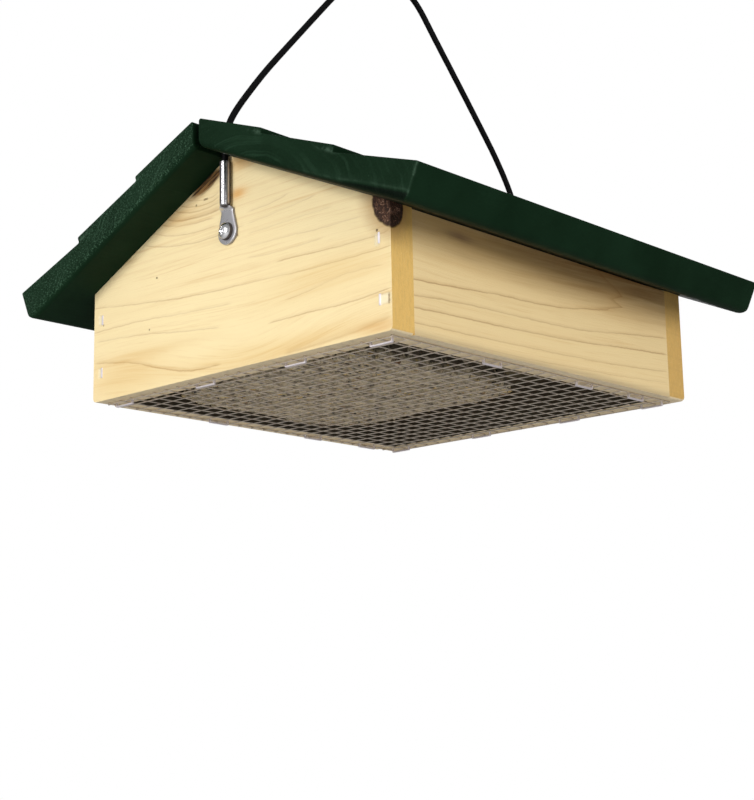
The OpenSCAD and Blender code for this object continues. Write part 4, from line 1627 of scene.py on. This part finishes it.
@dataclass
class WoodenBox:
    """Two gables and two side walls of bare wood, with their staples."""

    gable_ease: float = 0.55 * MM
    wall_ease: float = 0.25 * MM
    staple_ease: float = 0.12 * MM

    def front_finish(self) -> PineFinish:
        """Front gable: lines sag in the middle, a smeared knot under the ridge, a torn knot at the corner.

        Returns:
            The finish.
        """
        pale_mark = (0.93, 0.84, 0.60)
        return PineFinish(
            "front_pine", Grain.ALONG_X,
            rings=(Ring(52.0 * MM, 0.8 * MM, 0.20), Ring(58.0 * MM, 0.8 * MM, 0.24),
                   Ring(64.0 * MM, 0.8 * MM, 0.20), Ring(71.0 * MM, 0.8 * MM, 0.22)),
            bows=(Bow(6 * MM, 10 * MM, 60 * MM, (20 * MM, 58 * MM)),
                  Bow(7 * MM, 8 * MM, 58 * MM, (8 * MM, 24 * MM))),
            knots=(Knot(-14.5 * MM, 87.2 * MM, 10.5 * MM, 2.9 * MM, bend=3 * MM, core=(0.040, 0.018, 0.007),
                        rough=0.2, tilt=0.40, streaks=0.7),
                   Knot(96.4 * MM, 50.6 * MM, 12.4 * MM, 8.9 * MM, bend=2.5 * MM, core=(0.028, 0.012, 0.006),
                        tilt=-0.62, deep=(-103 * MM, 7.6 * MM), bark=1.0)),
            stains_and_painted_light=patches(
                (5.5, 77.5, 5.5, 2.6, (0.74, 0.38, 0.10), 0.9),
                (8, 91, 9, 3.2, (0.66, 0.36, 0.11), 0.95),
                (-62, 17, 40, 2.6, (0.66, 0.40, 0.13), 0.35),
                (-36, 76, 12, 5, (0.66, 0.40, 0.14), 0.5),
                (-71, 63, 7, 1.3, (0.60, 0.38, 0.15), 0.5),
                (30, 4, 80, 5, (0.72, 0.46, 0.15), 0.42),
                (-70, 9, 26, 9, (0.72, 0.45, 0.15), 0.55),
                (62, 30, 40, 9, (0.76, 0.52, 0.20), 0.45),
                (87, 2.6, 12, 2.4, (0.66, 0.36, 0.11), 0.75)),
            dents=patches(
                (-90.2, 38.8, 1.7, 2.6, pale_mark, 0.55),
                (-90.0, 13.4, 1.7, 2.6, pale_mark, 0.55),
                (87.6, 38.0, 1.6, 2.8, pale_mark, 0.5),
                (91.2, 13.2, 3.4, 2.4, pale_mark, 0.6),
                (87.6, 41.9, 0.55, 0.5, (0.16, 0.09, 0.04), 0.9),
                (-88.0, 36.0, 0.5, 0.45, (0.30, 0.20, 0.10), 0.7),
                (-49, 50.9, 0.55, 0.5, (0.20, 0.11, 0.05), 0.8),
                (-54, 27.6, 0.45, 0.45, (0.25, 0.15, 0.08), 0.7),
                (-21.8, 78.6, 0.6, 0.5, (0.30, 0.20, 0.08), 0.7),
                (-15.5, 79.9, 1.6, 0.5, (0.25, 0.15, 0.06), 0.7),
                (93.4, 13.0, 0.5, 2.2, (0.36, 0.20, 0.08), 0.6),
                (5.6, 58.6, 0.5, 0.6, (0.25, 0.13, 0.06), 0.8)),
            veins=(Vein(((31.2, 41.3), (42.5, 41), (60, 40.1), (81.1, 39.7), (93.3, 40.4)), 0.50),
                   Vein(((-94.9, 45.5), (-60, 41), (-14, 36.8), (13.4, 35.8), (46.8, 34.3), (71.2, 34),
                         (93.8, 34)), 0.42),
                   Vein(((36.3, 23.9), (47.4, 24.8), (64.1, 27), (71.8, 27.6), (79.4, 27.7), (88.9, 27.3)), 0.38),
                   Vein(((26.4, 15.8), (45.1, 15.9), (58.2, 15.6), (70.9, 15.5), (83.2, 16.2), (93.3, 16.9)), 0.48),
                   Vein(((13.5, 67.5), (27.6, 68.1), (36, 69.4)), 0.28),
                   Vein(((13.5, 62.3), (30, 63.1), (52, 64.8)), 0.28),
                   Vein(((13.4, 57.4), (38, 57.7), (61.7, 57.6)), 0.24),
                   Vein(((13.4, 51.9), (38, 51), (60, 49.9), (78.5, 49.7)), 0.26),
                   Vein(((13.4, 46.9), (36, 45.6), (56, 45.5)), 0.22),
                   Vein(((-58.3, 68.2), (-49.2, 65.6), (-31.6, 62.5), (-16.2, 61.3), (8, 62)), 0.38),
                   Vein(((-51.1, 72.2), (-42, 69.2), (-31.6, 67.2), (-20.5, 66.3), (-9.6, 66.2)), 0.34),
                   Vein(((-45.8, 75.1), (-38.7, 72.9), (-28.2, 71), (-11.3, 70.2)), 0.52, 0.34 * MM),
                   Vein(((-42.2, 77), (-35.2, 74.6), (-28.2, 73.4), (-16.3, 72.8), (-7.1, 73.1)), 0.66, 0.40 * MM, 0.4),
                   Vein(((-37.9, 80.2), (-30, 77.3), (-20.5, 75.7), (-8, 76.2)), 0.52, 0.34 * MM),
                   Vein(((-33.5, 81.5), (-24.8, 78.6), (-16.3, 77.6), (-8, 78.6)), 0.44),
                   Vein(((-28.3, 83.2), (-22.3, 81), (-13.8, 79.9), (-7.1, 80.9)), 0.36),
                   Vein(((-94.3, 33.4), (-65.3, 33), (-32.6, 30.8), (0, 29)), 0.34),
                   Vein(((-91.7, 28.5), (-60, 26.3), (-30.5, 22.4), (-8, 20)), 0.36),
                   Vein(((-92, 18.2), (-78, 16.4), (-64.9, 14), (-53, 10.6), (-40, 6.8), (-25.9, 4), (-6.6, 3.2)),
                        0.66, 0.30 * MM, 0.3),
                   Vein(((35.8, 1), (50, 1.4), (66, 2.2), (80, 3.6), (93, 5.4)), 0.34, 0.5 * MM, 0.5)))

    def right_finish(self) -> PineFinish:
        """Right wall: even lines that climb to the rear under one long tongue.

        Returns:
            The finish.
        """
        return PineFinish(
            "right_pine", Grain.ALONG_Y,
            rings=(Ring(96.0 * MM, 0.9 * MM, 0.30),),
            bows=(Bow(-8 * MM, 130 * MM, 110 * MM),),
            stains_and_painted_light=patches(
                # Painted light: a lighter, warmer patch at the front top of the wall, under the eave's shadow.
                (-62, 47, 40, 11, (0.97, 0.64, 0.26), 0.7),
                # Painted warm shade along the upper half of the wall, under the eave.
                (0.0, 46, 150, 12, (0.76, 0.50, 0.19), 0.6),
                # Painted shade under the eave, deepest towards the rear.
                (52, 55, 104, 18, (0.30, 0.13, 0.025), 1.0),
                (-93, 46, 5, 6, (0.30, 0.17, 0.07), 0.3),
                # A darker grey-beige band along the foot of the wall.
                (0.0, 0.2, 260, 2.2, (0.46, 0.35, 0.20), 0.8),
                (-61, 46.7, 9, 2.0, (0.42, 0.25, 0.12), 0.9),
                (-57, 38.4, 12, 1.6, (0.60, 0.40, 0.18), 0.5),
                (46, 42, 8, 7, (0.62, 0.38, 0.15), 0.5)),
            veins=(Vein(((-91, 22.7), (-63.4, 24.4), (-36.7, 26.4), (-13.4, 27.2), (6.6, 28.7), (23.3, 31.2),
                         (36.6, 33.1), (44, 35)), 0.72),
                   Vein(((-91, 16.2), (-57, 18.4), (-27, 19.2), (10, 20.4), (32, 22.2), (53, 24.7), (88, 28.4)), 0.55),
                   Vein(((-91, 11.4), (-65, 12.1), (-23, 13.4), (20, 15.4), (53, 18.1), (88, 20.4)), 0.66),
                   Vein(((-91, 5.1), (-65, 5.6), (10, 7.6), (60, 10.1), (88, 12.1)), 0.40),
                   Vein(((-70, 0.9), (-7, 2.1), (88, 6.7)), 0.26),
                   Vein(((34.4, 40), (35.6, 46), (37.4, 54.1), (38.8, 49.5), (40.1, 46.6), (41.4, 50.5), (42.6, 54.1),
                         (45.1, 50.8), (48.7, 41.6), (51.5, 36)), 0.85, 0.8 * MM, 0.5, True)),
            shift=3.7, wobble=1.2 * MM, pale=(0.870, 0.671, 0.350))

    def plain_finish(self, name: str, grain: Grain, shift: float) -> PineFinish:
        """A board that the photograph doesn't show: the same timber with lines and knots of its own.

        Args:
            name: the material's name.
            grain: the way it runs.
            shift: moves its figure.

        Returns:
            The finish.
        """
        rng = np.random.default_rng(int(shift * 10))
        places = np.cumsum(rng.uniform(4.5, 9.5, 12))
        darks = rng.uniform(0.25, 0.6, 12)
        rings = tuple(Ring(float(p) * MM, dark=float(d)) for p, d in zip(places, darks) if p < 95)[:9]
        knot = Knot(float(rng.uniform(-50, 50)) * MM, float(rng.uniform(20, 36)) * MM, 4.5 * MM, 3.6 * MM, dark=0.8,
                    bend=4 * MM, core=(0.13, 0.065, 0.028), rough=0.4)
        # The sawn ends take a darker copy of the usual end colour: painted shade for the rear gable's edge.
        return PineFinish(name, grain, rings, (Bow(6 * MM, -20 * MM, 70 * MM), Bow(-5 * MM, 80 * MM, 40 * MM)), (knot,),
                          patches((30, 12, 40, 3)), shift=shift, end=(0.70, 0.435, 0.130))

    def build(self, nodes: dict[str, bpy.types.Object]) -> None:
        """Dresses the panels and the staples.

        Args:
            nodes: the CAD nodes by name.
        """
        dress(nodes["front_gable"], self.front_finish().make(), self.gable_ease, 3)
        dress(nodes["rear_gable"], self.plain_finish("rear_pine", Grain.ALONG_X, 8.3).make(), self.gable_ease, 3)
        dress(nodes["right_side_wall"], self.right_finish().make(), self.wall_ease)
        dress(nodes["left_side_wall"], self.plain_finish("left_pine", Grain.ALONG_Y, 5.1).make(), self.wall_ease)
        steel = MetalFinish("staple_steel", Metal.STAPLE).make()
        for name in ("front_mesh", "rear_mesh", "left_mesh", "right_mesh", "front_gable", "rear_gable"):
            dress(nodes[f"{name}_staples"], steel, self.staple_ease)


@dataclass
class Roof:
    """Two painted boards with milled laps, joined by a cleat."""

    board_ease: float = 0.5 * MM
    cleat_ease: float = 0.4 * MM

    def build(self, nodes: dict[str, bpy.types.Object]) -> None:
        """Dresses the boards and the cleat.

        Args:
            nodes: the CAD nodes by name.
        """
        paint = PaintFinish().make()
        for side in ("left", "right"):
            dress(nodes[f"{side}_roof_board"], paint, self.board_ease, 3)
        cleat = PineFinish("cleat_pine", Grain.ALONG_Y, (Ring(82 * MM), Ring(88 * MM), Ring(94 * MM)), shift=6.6)
        dress(nodes["ridge_cleat"], cleat.make(), self.cleat_ease)


def main() -> None:
    """Builds the studio, then each part of the feeder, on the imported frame."""
    logging.basicConfig(level=logging.INFO, format="%(name)s %(message)s")
    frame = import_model()
    bpy.context.scene.view_settings.view_transform = "Standard"
    Studio().set_up()
    Hanger().build()
    MeshFloor().build()
    SuetCake().build()
    WoodenBox().build(frame["nodes"])
    Roof().build(frame["nodes"])


if __name__ == "__main__":
    main()
